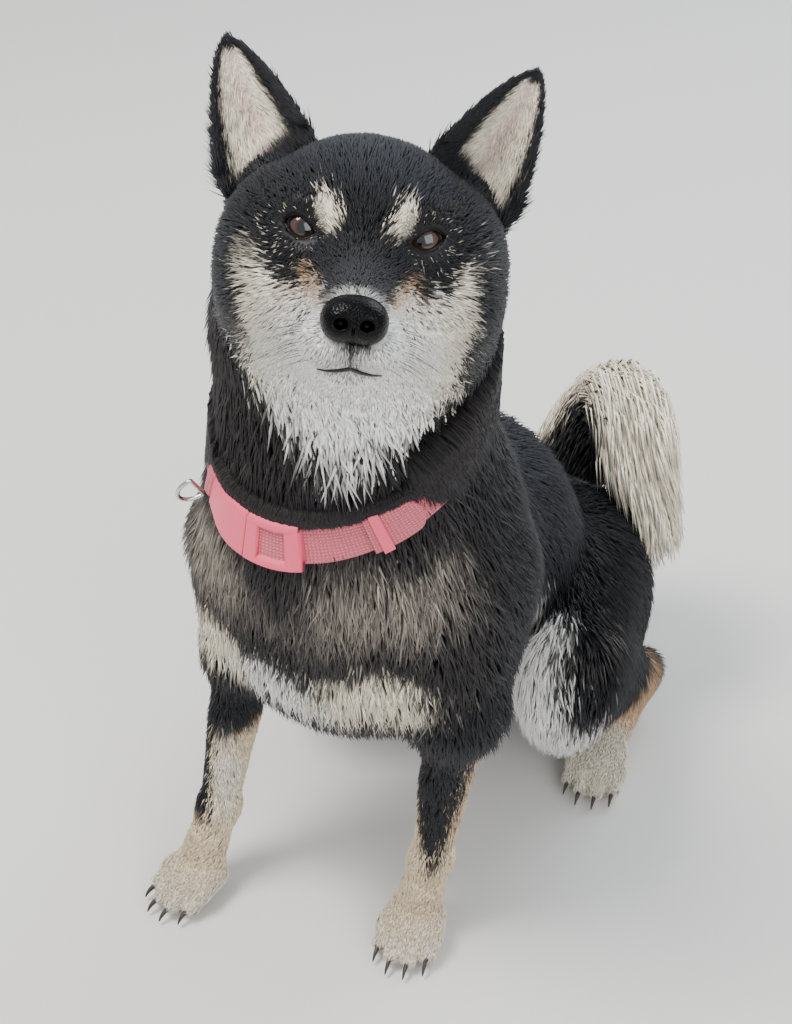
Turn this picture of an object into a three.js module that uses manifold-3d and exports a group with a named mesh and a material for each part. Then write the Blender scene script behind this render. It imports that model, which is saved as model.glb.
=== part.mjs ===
// A life-size shiba inu sitting upright, its weight on its straight front legs and its rump, its head turned
// and lifted to its left, its bushy tail curled over its left hip, and a webbing collar round its neck.
// Units are millimetres. +Z is up, the dog's chest faces -Y and its left side is +X.
import * as THREE from "three";
import { mergeVertices } from "three/addons/utils/BufferGeometryUtils.js";
import Module from "manifold-3d";

const wasm = await Module();
wasm.setup();

// Driving dimensions
const gap = 0.3; // between pieces that touch
const eyeHeight = 507;
const eyeSpread = 28; // from the head's middle to each eye
const eyeRadius = 9.5;
const headYaw = 29;
const headPitch = 25;
const headRoll = 6.5;
const headPlace = [43, 24, eyeHeight];
const collarWidth = 20;
const webbing = 2.4; // thickness of the collar's strap
const cellSize = { body: 15.8, neck: 18, head: 9.9, leg: 13.5, paw: 8.2, nose: 4.6 };

// Points and frames
const v3 = (p) => new THREE.Vector3(p[0], p[1], p[2]);
const turned = (degrees) => THREE.MathUtils.degToRad(degrees);
const headTurn = new THREE.Euler(-turned(headPitch), turned(headRoll), turned(headYaw), "ZXY");
const headFrame = new THREE.Matrix4()
  .makeRotationFromEuler(headTurn)
  .setPosition(v3(headPlace));
const headInverse = headFrame.clone().invert();
const mirrored = (p) => [-p[0], p[1], p[2]];
const bothSides = (place, size, softness) => [
  [egg(place, size), softness],
  [egg(mirrored(place), size), softness],
];

// Forms: each is a function of a point that is negative inside and about the distance to its surface.

// An egg about a centre, with its three half-sizes along x, y and z.
function egg(centre, size) {
  const least = Math.min(...size);
  return (x, y, z) => {
    const dx = x - centre[0];
    const dy = y - centre[1];
    const dz = z - centre[2];
    const share = Math.hypot(dx / size[0], dy / size[1], dz / size[2]);
    return share < 1e-6 ? -least : Math.hypot(dx, dy, dz) * (1 - 1 / share);
  };
}

// A limb from one point to another. Each end has a half-width across, towards `across`, and a half-depth.
function limb(from, to, [widthFrom, depthFrom], [widthTo, depthTo], across = [1, 0, 0]) {
  const start = v3(from);
  const along = v3(to).sub(start);
  const length = along.length();
  along.normalize();
  const side = v3(across).addScaledVector(along, -v3(across).dot(along)).normalize();
  const deep = new THREE.Vector3().crossVectors(along, side);
  return (x, y, z) => {
    const dx = x - start.x;
    const dy = y - start.y;
    const dz = z - start.z;
    const run = dx * along.x + dy * along.y + dz * along.z;
    const share = Math.min(1, Math.max(0, run / length));
    const past = run - share * length;
    const s = dx * side.x + dy * side.y + dz * side.z;
    const d = dx * deep.x + dy * deep.y + dz * deep.z;
    const width = widthFrom + (widthTo - widthFrom) * share;
    const depth = depthFrom + (depthTo - depthFrom) * share;
    const cap = Math.min(width, depth);
    const k = Math.hypot(s / width, d / depth, past / cap);
    return k < 1e-6 ? -cap : Math.hypot(s, d, past) * (1 - 1 / k);
  };
}

// Joins forms one after another, each flowing into those before it over its own softness.
function flow(pieces) {
  return (x, y, z) => {
    let least = 1e9;
    for (const [form, softness] of pieces) {
      const next = form(x, y, z);
      const share = Math.max(0, softness - Math.abs(least - next)) / softness;
      least = Math.min(least, next) - share * share * softness * 0.25;
    }
    return least;
  };
}

// Hollows a form where another one lies, with an edge as soft as the softness says.
function hollow(form, cutter, softness) {
  return (x, y, z) => {
    const here = form(x, y, z);
    const cut = -cutter(x, y, z);
    const share = Math.max(0, softness - Math.abs(here - cut)) / softness;
    return Math.max(here, cut) + share * share * softness * 0.25;
  };
}

// The head, in its own frame: its origin lies between the eyes, its nose points to -Y.
const fullHead = flow([
  [egg([0, 52, -1], [57, 60, 48]), 10],
  [egg([0, 18, 10], [42, 32, 31]), 24],
  ...bothSides([34, 40, -24], [38.5, 46, 37], 22),
  [egg([0, 46, -44], [44, 52, 30]), 24],
  [limb([0, 8, -22], [0, -60, -35], [29, 24], [16, 13]), 20],
  [limb([0, 16, -54], [0, -50, -59], [27, 14], [14, 8]), 12],
  ...bothSides([11, -56, -47], [14, 24, 12], 10),
  ...bothSides([23, 5, 12], [16, 13, 9], 10),
  ...bothSides([45, 62, 27], [20, 18, 14], 16),
]);
const eyePlace = [eyeSpread, 3, 0];
const sockets = flow(bothSides([eyeSpread + 1, -17, -0.5], [12, 9, 7.5], 1));
const headField = hollow(fullHead, sockets, 7);

// The trunk, neck and legs, in the part's own frame.
const chestCentre = [-2, 104, 258];
const loinCentre = [0, 210, 208];
const hipCentre = [0, 288, 132];
const neckBase = [1, 86, 318];
const neckTop = [7, 74, 424];
const trunkForms = [
  [egg(chestCentre, [95, 80, 92]), 10],
  [egg([0, 128, 325], [52, 58, 46]), 40],
  [limb(chestCentre, loinCentre, [84, 84], [74, 74]), 40],
  [limb(loinCentre, hipCentre, [74, 74], [86, 80]), 40],
  [egg([0, 310, 80], [88, 74, 84]), 40],
  [limb(neckBase, neckTop, [84, 74], [78, 68]), 40],
  [egg([-4, 62, 206], [62, 38, 42]), 30],
];
const legs = {
  left: {
    shoulder: [64, 96, 262],
    elbow: [74, 78, 190],
    wrist: [62, 68, 62],
    paw: [58, 54, 18],
    pawTurn: 8,
    hip: [66, 300, 112],
    knee: [100, 188, 134],
    hock: [104, 328, 34],
    foot: [108, 248, 16],
    footTurn: 6,
  },
  right: {
    shoulder: [-74, 96, 256],
    elbow: [-71, 74, 190],
    wrist: [-83, 44, 62],
    paw: [-88, 22, 18],
    pawTurn: -16,
    hip: [-66, 300, 112],
    knee: [-100, 188, 134],
    hock: [-104, 328, 34],
    foot: [-108, 248, 16],
    footTurn: -6,
  },
};
function frontLegForms(leg) {
  return [
    [limb(leg.shoulder, leg.elbow, [31, 48], [28, 30]), 36],
    [limb(leg.elbow, leg.wrist, [20, 25], [12.5, 14.5]), 24],
    [limb(leg.wrist, leg.paw, [12.5, 14], [17, 14]), 12],
  ];
}
function hindLegForms(leg) {
  return [
    [limb(leg.hip, leg.knee, [48, 76], [30, 48]), 36],
    [limb(leg.knee, leg.hock, [28, 40], [16, 20]), 24],
    [limb(leg.hock, leg.foot, [15, 17], [15, 13]), 14],
  ];
}

// Four toes spread from the front of a paw, which points to -Y before it is turned.
const toeSpread = [-15, -5.3, 5.3, 15];
const toeReach = [17, 24, 24, 17];
function toeLine(centre, turn, index) {
  const angle = turned(turn);
  const place = (x, y, z) => [
    centre[0] + x * Math.cos(angle) - y * Math.sin(angle),
    centre[1] + x * Math.sin(angle) + y * Math.cos(angle),
    z,
  ];
  const x = toeSpread[index];
  const reach = toeReach[index];
  return {
    root: place(x * 0.75, -reach + 22, 17),
    knuckle: place(x * 0.95, -reach + 7, 16),
    tip: place(x * 1.06, -reach - 4, 9),
    claw: place(x * 1.12, -reach - 17, 3.4),
  };
}
const toeIndexes = toeSpread.map((_, i) => i);
function pawForms(centre, turn) {
  return toeIndexes.flatMap((i) => {
    const toe = toeLine(centre, turn, i);
    return [
      [limb(toe.root, toe.knuckle, [8.2, 10], [8, 10]), 8],
      [limb(toe.knuckle, toe.tip, [7.4, 9], [6.4, 8]), 5],
    ];
  });
}

const inverse = headInverse.elements;
const toHead = (x, y, z) =>
  [0, 1, 2].map((a) => inverse[a] * x + inverse[a + 4] * y + inverse[a + 8] * z + inverse[a + 12]);
const trunkField = flow([
  ...trunkForms,
  ...Object.values(legs).flatMap((leg) => [
    ...frontLegForms(leg),
    ...hindLegForms(leg),
    ...pawForms(leg.paw, leg.pawTurn),
    ...pawForms(leg.foot, leg.footTurn),
  ]),
]);
const headNeckSoftness = 34;
function bodyField(x, y, z) {
  const trunk = trunkField(x, y, z);
  const head = headField(...toHead(x, y, z));
  const share = Math.max(0, headNeckSoftness - Math.abs(trunk - head)) / headNeckSoftness;
  return Math.min(trunk, head) - share * share * headNeckSoftness * 0.25;
}

// The corners of a cell, its twelve edges by their corners, and the four cells round an edge
const cubeCorners = [0, 1, 2, 3, 4, 5, 6, 7].map((c) => [c & 1, (c >> 1) & 1, c >> 2]);
const cubeEdges = [0, 1, 2].flatMap((a) =>
  cubeCorners.flatMap((corner, c) => (corner[a] ? [] : [[c, c + (1 << a)]])),
);
const quadCells = [[0, 0], [1, 0], [1, 1], [0, 1]];

// A closed net of quads round the field's zero surface, one corner to each cell that the surface crosses.
function netOf(field, low, high, cell) {
  const count = [0, 1, 2].map((a) => Math.ceil((high[a] - low[a]) / cell) + 3);
  const at = (a, i) => low[a] + (i - 1) * cell;
  const [nx, ny, nz] = count;
  const index = (i, j, k) => i + nx * (j + ny * k);
  const value = new Float32Array(nx * ny * nz);
  for (let k = 0; k < nz; k++)
    for (let j = 0; j < ny; j++)
      for (let i = 0; i < nx; i++) {
        const x = at(0, i);
        const y = at(1, j);
        const z = at(2, k);
        const box = Math.max(low[0] - x, x - high[0], low[1] - y, y - high[1], low[2] - z, z - high[2]);
        value[index(i, j, k)] = Math.max(field(x, y, z), box) || 1e-4;
      }
  const corner = new Map();
  const points = [];
  for (let k = 0; k < nz - 1; k++)
    for (let j = 0; j < ny - 1; j++)
      for (let i = 0; i < nx - 1; i++) {
        const corners = cubeCorners.map(([a, b, c]) => value[index(i + a, j + b, k + c)]);
        const inside = corners.filter((v) => v < 0).length;
        if (inside === 0 || inside === 8) continue;
        const sum = [0, 0, 0];
        let crossings = 0;
        for (const [from, to] of cubeEdges) {
          const vFrom = corners[from];
          const vTo = corners[to];
          if (vFrom < 0 === vTo < 0) continue;
          const share = vFrom / (vFrom - vTo);
          for (let a = 0; a < 3; a++)
            sum[a] += cubeCorners[from][a] * (1 - share) + cubeCorners[to][a] * share;
          crossings++;
        }
        corner.set(index(i, j, k), points.length);
        points.push([i, j, k].map((n, a) => at(a, n) + (sum[a] / crossings) * cell));
      }
  settle(points, field, low, high, cell);
  const triangles = [];
  const quad = (a, b, c, d) => {
    const [pa, pb, pc, pd] = [a, b, c, d].map((n) => v3(points[n]));
    if (pa.distanceTo(pc) < pb.distanceTo(pd)) triangles.push(a, b, c, a, c, d);
    else triangles.push(a, b, d, b, c, d);
  };
  for (let k = 1; k < nz - 1; k++)
    for (let j = 1; j < ny - 1; j++)
      for (let i = 1; i < nx - 1; i++) {
        const here = value[index(i, j, k)] < 0;
        for (let a = 0; a < 3; a++) {
          const next = [i, j, k];
          next[a]++;
          if (here === value[index(...next)] < 0) continue;
          const round = quadCells.map(([s, t]) => {
            const cellAt = [i, j, k];
            cellAt[(a + 1) % 3] -= s;
            cellAt[(a + 2) % 3] -= t;
            return corner.get(index(...cellAt));
          });
          if (here) quad(...round);
          else quad(...round.reverse());
        }
      }
  return { points, triangles };
}

// Draws each corner of a net on to the surface itself, no further than half a cell.
function settle(points, field, low, high, cell) {
  const step = 0.25;
  for (const p of points) {
    const from = [...p];
    if (p.some((value, a) => value < low[a] + 0.2 || value > high[a] - 0.2)) continue;
    for (let round = 0; round < 4; round++) {
      const value = field(...p);
      const slope = [0, 1, 2].map((a) => {
        const q = [...p];
        q[a] += step;
        return (field(...q) - value) / step;
      });
      const steep = slope.reduce((sum, g) => sum + g * g, 0);
      if (steep < 1e-4) break;
      for (let a = 0; a < 3; a++) p[a] -= (value * slope[a]) / Math.max(steep, 0.3);
    }
    const moved = v3(p).distanceTo(v3(from));
    if (moved > cell / 2) for (let a = 0; a < 3; a++) p[a] = from[a] + ((p[a] - from[a]) * cell) / 2 / moved;
  }
}

// Solids
const solidOfMesh = (points, triangles) =>
  new wasm.Manifold(
    new wasm.Mesh({
      numProp: 3,
      vertProperties: new Float32Array(points.flat()),
      triVerts: new Uint32Array(triangles),
    }),
  );

function solidOfField(field, low, high, cell) {
  const { points, triangles } = netOf(field, low, high, cell);
  return solidOfMesh(points, triangles);
}

function solidOf(geometry, matrix) {
  const bare = geometry.clone();
  if (matrix) bare.applyMatrix4(matrix);
  bare.deleteAttribute("normal");
  bare.deleteAttribute("uv");
  const merged = mergeVertices(bare, 1e-4);
  return new wasm.Manifold(
    new wasm.Mesh({
      numProp: 3,
      vertProperties: merged.getAttribute("position").array,
      triVerts: new Uint32Array(merged.index.array),
    }),
  );
}

// A closed solid through rings of as many points each, with both ends filled, or joined into a loop.
function solidOfRings(rings, looped = false) {
  const sides = rings[0].length;
  const points = rings.flat();
  const triangles = [];
  const steps = looped ? rings.length : rings.length - 1;
  for (let r = 0; r < steps; r++)
    for (let s = 0; s < sides; s++) {
      const a = r * sides + s;
      const b = r * sides + ((s + 1) % sides);
      const c = ((r + 1) % rings.length) * sides + ((s + 1) % sides);
      const d = ((r + 1) % rings.length) * sides + s;
      triangles.push(a, b, c, a, c, d);
    }
  if (!looped)
    for (const [r, flip] of [[0, true], [rings.length - 1, false]]) {
      const middle = points.length;
      points.push([0, 1, 2].map((a) => rings[r].reduce((sum, p) => sum + p[a], 0) / sides));
      for (let s = 0; s < sides; s++) {
        const a = r * sides + s;
        const b = r * sides + ((s + 1) % sides);
        triangles.push(...(flip ? [b, a, middle] : [a, b, middle]));
      }
    }
  let volume = 0;
  for (let t = 0; t < triangles.length; t += 3) {
    const [a, b, c] = [0, 1, 2].map((n) => v3(points[triangles[t + n]]));
    volume += a.dot(b.cross(c));
  }
  return solidOfMesh(points, volume > 0 ? triangles : triangles.reverse());
}

// A large block whose near face lies half a gap before a plane, on the side that the direction points to.
const blockSize = 1400;
function beyond(point, direction) {
  const out = v3(direction).normalize();
  const turn = new THREE.Quaternion().setFromUnitVectors(new THREE.Vector3(0, 0, 1), out);
  const matrix = new THREE.Matrix4().compose(
    v3(point).addScaledVector(out, (blockSize - gap) / 2),
    turn,
    new THREE.Vector3(1, 1, 1),
  );
  return solidOf(new THREE.BoxGeometry(blockSize, blockSize, blockSize), matrix);
}
const opposite = (direction) => direction.map((v) => -v);
const largest = (solid) =>
  solid.decompose().reduce((best, piece) => (piece.volume() > best.volume() ? piece : best));

// The solid's faces, its corners set on a fine raster and any face that this closes left out
const raster = 0.002;
function geometryOf(solid) {
  const mesh = solid.getMesh();
  const places = new Float32Array(mesh.numVert * 3);
  for (let i = 0; i < mesh.numVert; i++)
    for (let a = 0; a < 3; a++)
      places[i * 3 + a] = Math.round(mesh.vertProperties[i * mesh.numProp + a] / raster) * raster;
  const loose = new THREE.BufferGeometry();
  loose.setAttribute("position", new THREE.BufferAttribute(places, 3));
  loose.setIndex(new THREE.BufferAttribute(new Uint32Array(mesh.triVerts), 1));
  const geometry = mergeVertices(loose, raster / 4);
  const index = [];
  for (let t = 0; t < geometry.index.count; t += 3) {
    const [a, b, c] = [0, 1, 2].map((n) => geometry.index.getX(t + n));
    if (a !== b && b !== c && c !== a) index.push(a, b, c);
  }
  geometry.setIndex(index);
  geometry.computeVertexNormals();
  return geometry;
}

// Materials
const finish = (color, roughness, metalness = 0) =>
  new THREE.MeshStandardMaterial({ color, roughness, metalness });
const blackCoat = finish(0x1d1b1e, 0.8);
const creamCoat = finish(0xd9c5ad, 0.85);
const noseSkin = finish(0x121213, 0.35);
const eyeGlass = finish(0x2e1a10, 0.1);
const horn = finish(0x2a2523, 0.5);
const pinkWebbing = finish(0xe2717f, 0.8);
const pinkPlastic = finish(0xf0627a, 0.4);
const steel = finish(0xc9c9c6, 0.3, 1);

const dog = new THREE.Group();
const headGroup = new THREE.Group();
headGroup.rotation.copy(headTurn);
headGroup.position.copy(v3(headPlace));
dog.add(headGroup);
function add(group, name, solid, material) {
  const mesh = new THREE.Mesh(geometryOf(largest(solid)), material);
  mesh.name = name;
  group.add(mesh);
}

// Planes that part the body, each a point and the direction that it faces
const floorPlane = [[0, 0, -gap / 2], [0, 0, -1]];
const collarPlane = [[26.6, 12.5, 330.5], [-0.1, -0.56, 0.82]];
const neckPlane = [[29.8, 30.4, 304], collarPlane[1]]; // between the torso and the neck
const headPlane = [[0, 60, -45], [0, 0.75, -0.66]]; // between the head and the neck, in the head's frame
const headPlaneInBody = [
  v3(headPlane[0]).applyMatrix4(headFrame).toArray(),
  v3(headPlane[1]).transformDirection(headFrame).toArray(),
];
const floor = beyond(...floorPlane);
const past = (plane) => beyond(...plane);
const before = ([point, direction]) => beyond(point, opposite(direction));

// The head's skin in its own frame, raised by a little where something is cut clear of it
const headLow = [-88, -104, -92];
const headHigh = [88, 128, 66];
const headSkin = (rise) => {
  const field = (x, y, z) => bodyField(...v3([x, y, z]).applyMatrix4(headFrame).toArray()) - rise;
  return solidOfField(field, headLow, headHigh, cellSize.head);
};

// Eyes, and the almond opening between their lids
const lidThickness = 2.2;
const eyeAhead = turned(12);
const eyeMatrix = (side) =>
  new THREE.Matrix4().makeRotationZ(eyeAhead * side).setPosition(eyePlace[0] * side, eyePlace[1], eyePlace[2]);
const ball = (radius, side) => solidOf(new THREE.SphereGeometry(radius, 12, 8), eyeMatrix(side));
function eyeOpening(side) {
  const almond = new THREE.Shape();
  almond.moveTo(-7.2 * side, -2);
  almond.bezierCurveTo(-4.4 * side, 5.6, 4 * side, 8, 7.2 * side, 1.8);
  almond.bezierCurveTo(5.6 * side, -5.4, -3 * side, -6, -7.2 * side, -2);
  const prism = new THREE.ExtrudeGeometry(almond, { depth: 30, bevelEnabled: false, curveSegments: 6 });
  prism.applyMatrix4(new THREE.Matrix4().makeRotationX(turned(90)));
  return solidOf(prism, eyeMatrix(side));
}

// The nose pad, with its nostrils and the groove between them
const noseField = flow([
  [egg([0, -78.5, -34.5], [12, 11, 9.5]), 4],
  ...bothSides([6.5, -79.5, -36.5], [7.8, 9.4, 8.6], 5),
]);
const noseLow = [-18, -94, -50];
const noseHigh = [18, -64, -22];
const noseBase = solidOfField(noseField, noseLow, noseHigh, cellSize.nose);
const noseSeat = solidOfField((x, y, z) => noseField(x, y, z) - 0.5, noseLow, noseHigh, cellSize.nose);
const stretched = (size, place) =>
  solidOf(
    new THREE.SphereGeometry(1, 6, 5),
    new THREE.Matrix4().makeScale(...size).setPosition(v3(place)),
  );
const sides = [1, -1];
const nose = [
  stretched([1, 5, 5.5], [0, -89, -43]),
  ...sides.map((side) => stretched([3.2, 5, 2.8], [5.8 * side, -88.5, -37.5])),
  ...sides.map((side) => stretched([4.5, 6, 1.2], [11 * side, -84, -39.5])),
].reduce((rest, cutter) => rest.subtract(cutter), noseBase);

// The line of the mouth lies where rays from inside the muzzle leave it
function surfaceAlong(field, from, direction, reach) {
  let near = 0;
  let far = reach;
  for (let i = 0; i < 24; i++) {
    const middle = (near + far) / 2;
    if (field(...from.map((v, a) => v + direction[a] * middle)) < 0) near = middle;
    else far = middle;
  }
  return from.map((v, a) => v + direction[a] * near);
}
const mouthSteps = 12;
const mouthAngle = 78;
const mouthLine = Array.from({ length: mouthSteps + 1 }, (_, i) => {
  const across = (i / mouthSteps) * 2 - 1;
  const angle = turned(mouthAngle) * across;
  const back = 1 - Math.cos(angle);
  const from = [0, -46 + 36 * back, -57.5 - 2.4 * Math.sin(Math.PI * Math.abs(across)) + 5 * across ** 4];
  return v3(surfaceAlong(headField, from, [Math.sin(angle), -Math.cos(angle), 0], 60));
});
function tubeAlong(points, radius, steps) {
  const section = new THREE.Shape();
  section.absarc(0, 0, radius, 0, Math.PI * 2);
  return solidOf(
    new THREE.ExtrudeGeometry(section, {
      steps,
      curveSegments: 3,
      bevelEnabled: false,
      extrudePath: new THREE.CatmullRomCurve3(points),
    }),
  );
}
const philtrum = [-47, -51, -55, -58].map((z) => v3(surfaceAlong(headField, [0, -50, z], [0, -1, 0], 60)));

// Ears: cupped shells whose edges run from the crown and the temple to a blunt tip
const earForm = {
  inner: [29, 42, 46],
  outer: [70, 44, 20],
  tip: [74, 38, 84],
  halfWidth: 26,
  cup: 15,
  thickness: 4.4,
  rim: 2.2,
};
function earShell(side) {
  const base = v3(earForm.inner).add(v3(earForm.outer)).multiplyScalar(0.5);
  const up = v3(earForm.tip).sub(base);
  const baseLine = v3(earForm.outer).sub(v3(earForm.inner)).setY(16).normalize();
  const tipLine = new THREE.Vector3(0.88, 0.2, -0.43).normalize();
  const heights = [-0.3, 0, 0.2, 0.4, 0.6, 0.78, 0.9, 0.97, 1];
  const rings = heights.map((height) => {
    const share = Math.max(0, height);
    const line = baseLine.clone().lerp(tipLine, share).normalize();
    const back = new THREE.Vector3().crossVectors(up, line).normalize();
    if (back.y < 0) back.negate();
    const half = Math.max(3, earForm.halfWidth * 0.5 * (1 - share + Math.sqrt(1 - share * share)));
    const cup = earForm.cup * (1 - share) ** 0.8 * (height < 0 ? 0.7 : 1);
    const point = (across, face) => {
      const thick = earForm.rim + (earForm.thickness - earForm.rim) * (1 - across * across) * (1 - share * 0.5);
      const place = base.clone().addScaledVector(up, height);
      place.addScaledVector(line, half * across);
      place.addScaledVector(back, cup * (1 - across * across) + (face * thick) / 2 - cup * 0.4);
      return [place.x * side, place.y, place.z];
    };
    const across = [-1, -0.6, 0, 0.6, 1];
    return [...across.map((a) => point(a, -1)), ...across.reverse().map((a) => point(a, 1))];
  });
  return solidOfRings(rings);
}

const headRaised = headSkin(0.45);
let head = headSkin(0).subtract(past(headPlane));
for (const side of sides) head = head.add(ball(eyeRadius + lidThickness, side));
for (const side of sides) head = head.subtract(eyeOpening(side)).subtract(ball(eyeRadius + gap + 0.05, side));
head = head.subtract(noseSeat).subtract(tubeAlong(mouthLine, 1.3, 14)).subtract(tubeAlong(philtrum, 0.8, 4));
add(headGroup, "head", head, blackCoat);
add(headGroup, "nose", nose, noseSkin);
for (const side of sides) {
  const label = side > 0 ? "left" : "right";
  add(headGroup, `eye_${label}`, ball(eyeRadius, side), eyeGlass);
  add(headGroup, `ear_${label}`, earShell(side).subtract(headRaised), blackCoat);
}

// The collar's ring, each place on it given by an angle from the front of the neck towards its left side
const collarNormal = v3(collarPlane[1]).normalize();
const collarAcross = new THREE.Vector3(1, 0, 0).addScaledVector(collarNormal, -collarNormal.x).normalize();
const collarBack = new THREE.Vector3().crossVectors(collarNormal, collarAcross);
const collarMiddle = v3([5, 82, 0]);
collarMiddle.z = collarPlane[0][2] - (collarNormal.x * (5 - collarPlane[0][0]) +
  collarNormal.y * (82 - collarPlane[0][1])) / collarNormal.z;
const outward = (angle) =>
  collarAcross.clone().multiplyScalar(Math.sin(angle)).addScaledVector(collarBack, -Math.cos(angle));
function neckRadius(angle, rise) {
  const from = collarMiddle.clone().addScaledVector(collarNormal, rise).toArray();
  const end = surfaceAlong(bodyField, from, outward(angle).toArray(), 130);
  return v3(end).distanceTo(v3(from));
}
const onCollar = (angle, rise, radius) =>
  collarMiddle.clone().addScaledVector(collarNormal, rise).addScaledVector(outward(angle), radius).toArray();

// A stretch of the ring's wall between two angles, its faces given by how far they lie outside the coat
function ringStretch(from, to, inner, outer, width, steps, looped = false) {
  const rings = Array.from({ length: looped ? steps : steps + 1 }, (_, i) => {
    const angle = turned(from + ((to - from) * i) / steps);
    const place = (rise, radial) => onCollar(angle, rise, neckRadius(angle, rise) + radial);
    const low = -width / 2;
    const high = width / 2;
    return [place(low, inner), place(low, outer), place(high, outer), place(high, inner)];
  });
  return solidOfRings(rings, looped);
}

// Torso and hind legs are parted from one net, so that their edges meet
const bodyLow = [-150, -60, -12];
const bodyHigh = [160, 430, 400];
const bodySkin = (rise) =>
  solidOfField((x, y, z) => bodyField(x, y, z) - rise, bodyLow, bodyHigh, cellSize.body);
const boxOf = (low, high) => {
  const middle = low.map((v, a) => (v + high[a]) / 2);
  const size = low.map((v, a) => high[a] - v);
  return solidOf(new THREE.BoxGeometry(...size), new THREE.Matrix4().setPosition(v3(middle)));
};
const body = bodySkin(0).subtract(floor).subtract(past(neckPlane));

// A front leg lies below a slanting plane, a hind leg beside an upright one
const frontLegPlane = (side, rise) => [[28 * side, 0, 172 + rise], [-0.6 * side, 0, 0.8]];
const frontLegLow = [28, -60, -20];
const frontLegHigh = [150, 128, 240];
const wristPlane = [[0, 0, 50], [0, 0, -1]];
const hindLegLow = [50, 146, -20];
const hindLegHigh = [170, 440, 206];
const footLow = [84, 190, -20];
const footHigh = [160, 300, 44];
const grownBox = (low, high, side, grow) => {
  const corners = [low, high].map((p, n) => p.map((v) => v + (n ? grow : -grow)));
  if (side > 0) return boxOf(...corners);
  return boxOf([-corners[1][0], ...corners[0].slice(1)], [-corners[0][0], ...corners[1].slice(1)]);
};
let torso = body;
for (const side of sides) {
  const frontCut = grownBox(frontLegLow, frontLegHigh, side, gap / 2).subtract(past(frontLegPlane(side, gap * 1.4)));
  torso = torso.subtract(frontCut).subtract(grownBox(hindLegLow, hindLegHigh, side, gap / 2));
}
add(dog, "torso", torso, blackCoat);

const buckle = { from: -41, joint: -18, to: 4, outer: 4.4, width: 21 };
const neckSkin = solidOfField(bodyField, [-110, -30, 262], [120, 190, 480], cellSize.neck);
const collarGroove = ringStretch(0, 360, -4.1, 14, buckle.width + 2 * gap, 26, true);
const neck = neckSkin
  .subtract(before(neckPlane))
  .subtract(before(headPlaneInBody))
  .subtract(collarGroove);
add(dog, "neck", neck, blackCoat);

function clawSolid(toe, grow) {
  const tip = v3(toe.tip);
  const end = v3(toe.claw);
  const curve = new THREE.QuadraticBezierCurve3(
    tip.clone().lerp(end, 0.1 - grow * 0.03).setZ(tip.z + 1.5),
    tip.clone().lerp(end, 0.75).setZ(tip.z + 0.5),
    end,
  );
  const across = new THREE.Vector3(0, 0, 1).cross(end.clone().sub(tip)).normalize();
  const rings = [0, 0.5, 1].map((t) => {
    const place = curve.getPoint(t);
    const up = across.clone().cross(curve.getTangent(t)).normalize();
    const radius = 2.7 * (1 - t) + 0.6 * t + grow;
    return [0, 1, 2, 3].map((i) => {
      const angle = ((i + 0.5) / 4) * Math.PI * 2;
      const point = place.clone().addScaledVector(across, Math.cos(angle) * radius * 0.8);
      return point.addScaledVector(up, Math.sin(angle) * radius).toArray();
    });
  });
  return solidOfRings(rings);
}
function addClaws(label, centre, turn, paw) {
  let rest = paw;
  for (const i of toeIndexes) {
    const toe = toeLine(centre, turn, i);
    rest = rest.subtract(clawSolid(toe, gap + 0.05));
    add(dog, `claw_${label}_${i + 1}`, clawSolid(toe, 0), horn);
  }
  return rest;
}
for (const side of sides) {
  const label = side > 0 ? "left" : "right";
  const leg = legs[label];
  const legSkin = solidOfField(
    bodyField,
    side > 0 ? [20, -20, 30] : [-130, -50, 30],
    side > 0 ? [130, 140, 246] : [-20, 140, 246],
    cellSize.leg,
  ).intersect(grownBox(frontLegLow, frontLegHigh, side, -gap / 2));
  add(
    dog,
    `front_leg_${label}`,
    legSkin.subtract(past(frontLegPlane(side, 0))).subtract(past(wristPlane)),
    blackCoat,
  );
  const pawSkin = solidOfField(
    bodyField,
    [leg.paw[0] - 40, leg.paw[1] - 44, -8],
    [leg.paw[0] + 40, leg.paw[1] + 50, 56],
    cellSize.paw,
  );
  const paw = pawSkin.subtract(floor).subtract(before(wristPlane));
  add(dog, `front_paw_${label}`, addClaws(`front_${label}`, leg.paw, leg.pawTurn, paw), creamCoat);
  const hind = body.intersect(grownBox(hindLegLow, hindLegHigh, side, -gap / 2));
  add(dog, `hind_leg_${label}`, hind.subtract(grownBox(footLow, footHigh, side, gap / 2)), blackCoat);
  const footSkin = solidOfField(
    bodyField,
    [leg.foot[0] - 44, leg.foot[1] - 50, -8],
    [leg.foot[0] + 44, 306, 52],
    cellSize.paw,
  );
  const foot = footSkin.subtract(floor).intersect(grownBox(footLow, footHigh, side, -gap / 2));
  add(dog, `hind_foot_${label}`, addClaws(`hind_${label}`, leg.foot, leg.footTurn, foot), creamCoat);
}

// The tail rises behind the rump, curls over and comes down to the left hip. Its core is at most half as
// thick as its brush, which is flat locks rooted in the core: each runs back along the curl while it rises,
// and tapers to its tip.
const tailRoute = [
  [5, 335, 95],
  [14, 368, 140],
  [30, 384, 188],
  [51, 379, 224],
  [69, 358, 227],
  [79, 343, 196],
  [84, 342, 158],
];
const tailCurve = new THREE.CatmullRomCurve3(tailRoute.map(v3));
const tailLength = tailCurve.getLength();
const curlCentre = v3([50, 356, 150]);
const curlTop = 0.6; // share of the curve where the two lengths of tail meet
const coreRadius = 15;
const brush = { outside: 40, beside: 31, inside: 24 };
const lock = { rows: 5, around: 6, length: 92, halfWidth: 19, halfThick: 3.6, lift: 0.75 };

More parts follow.
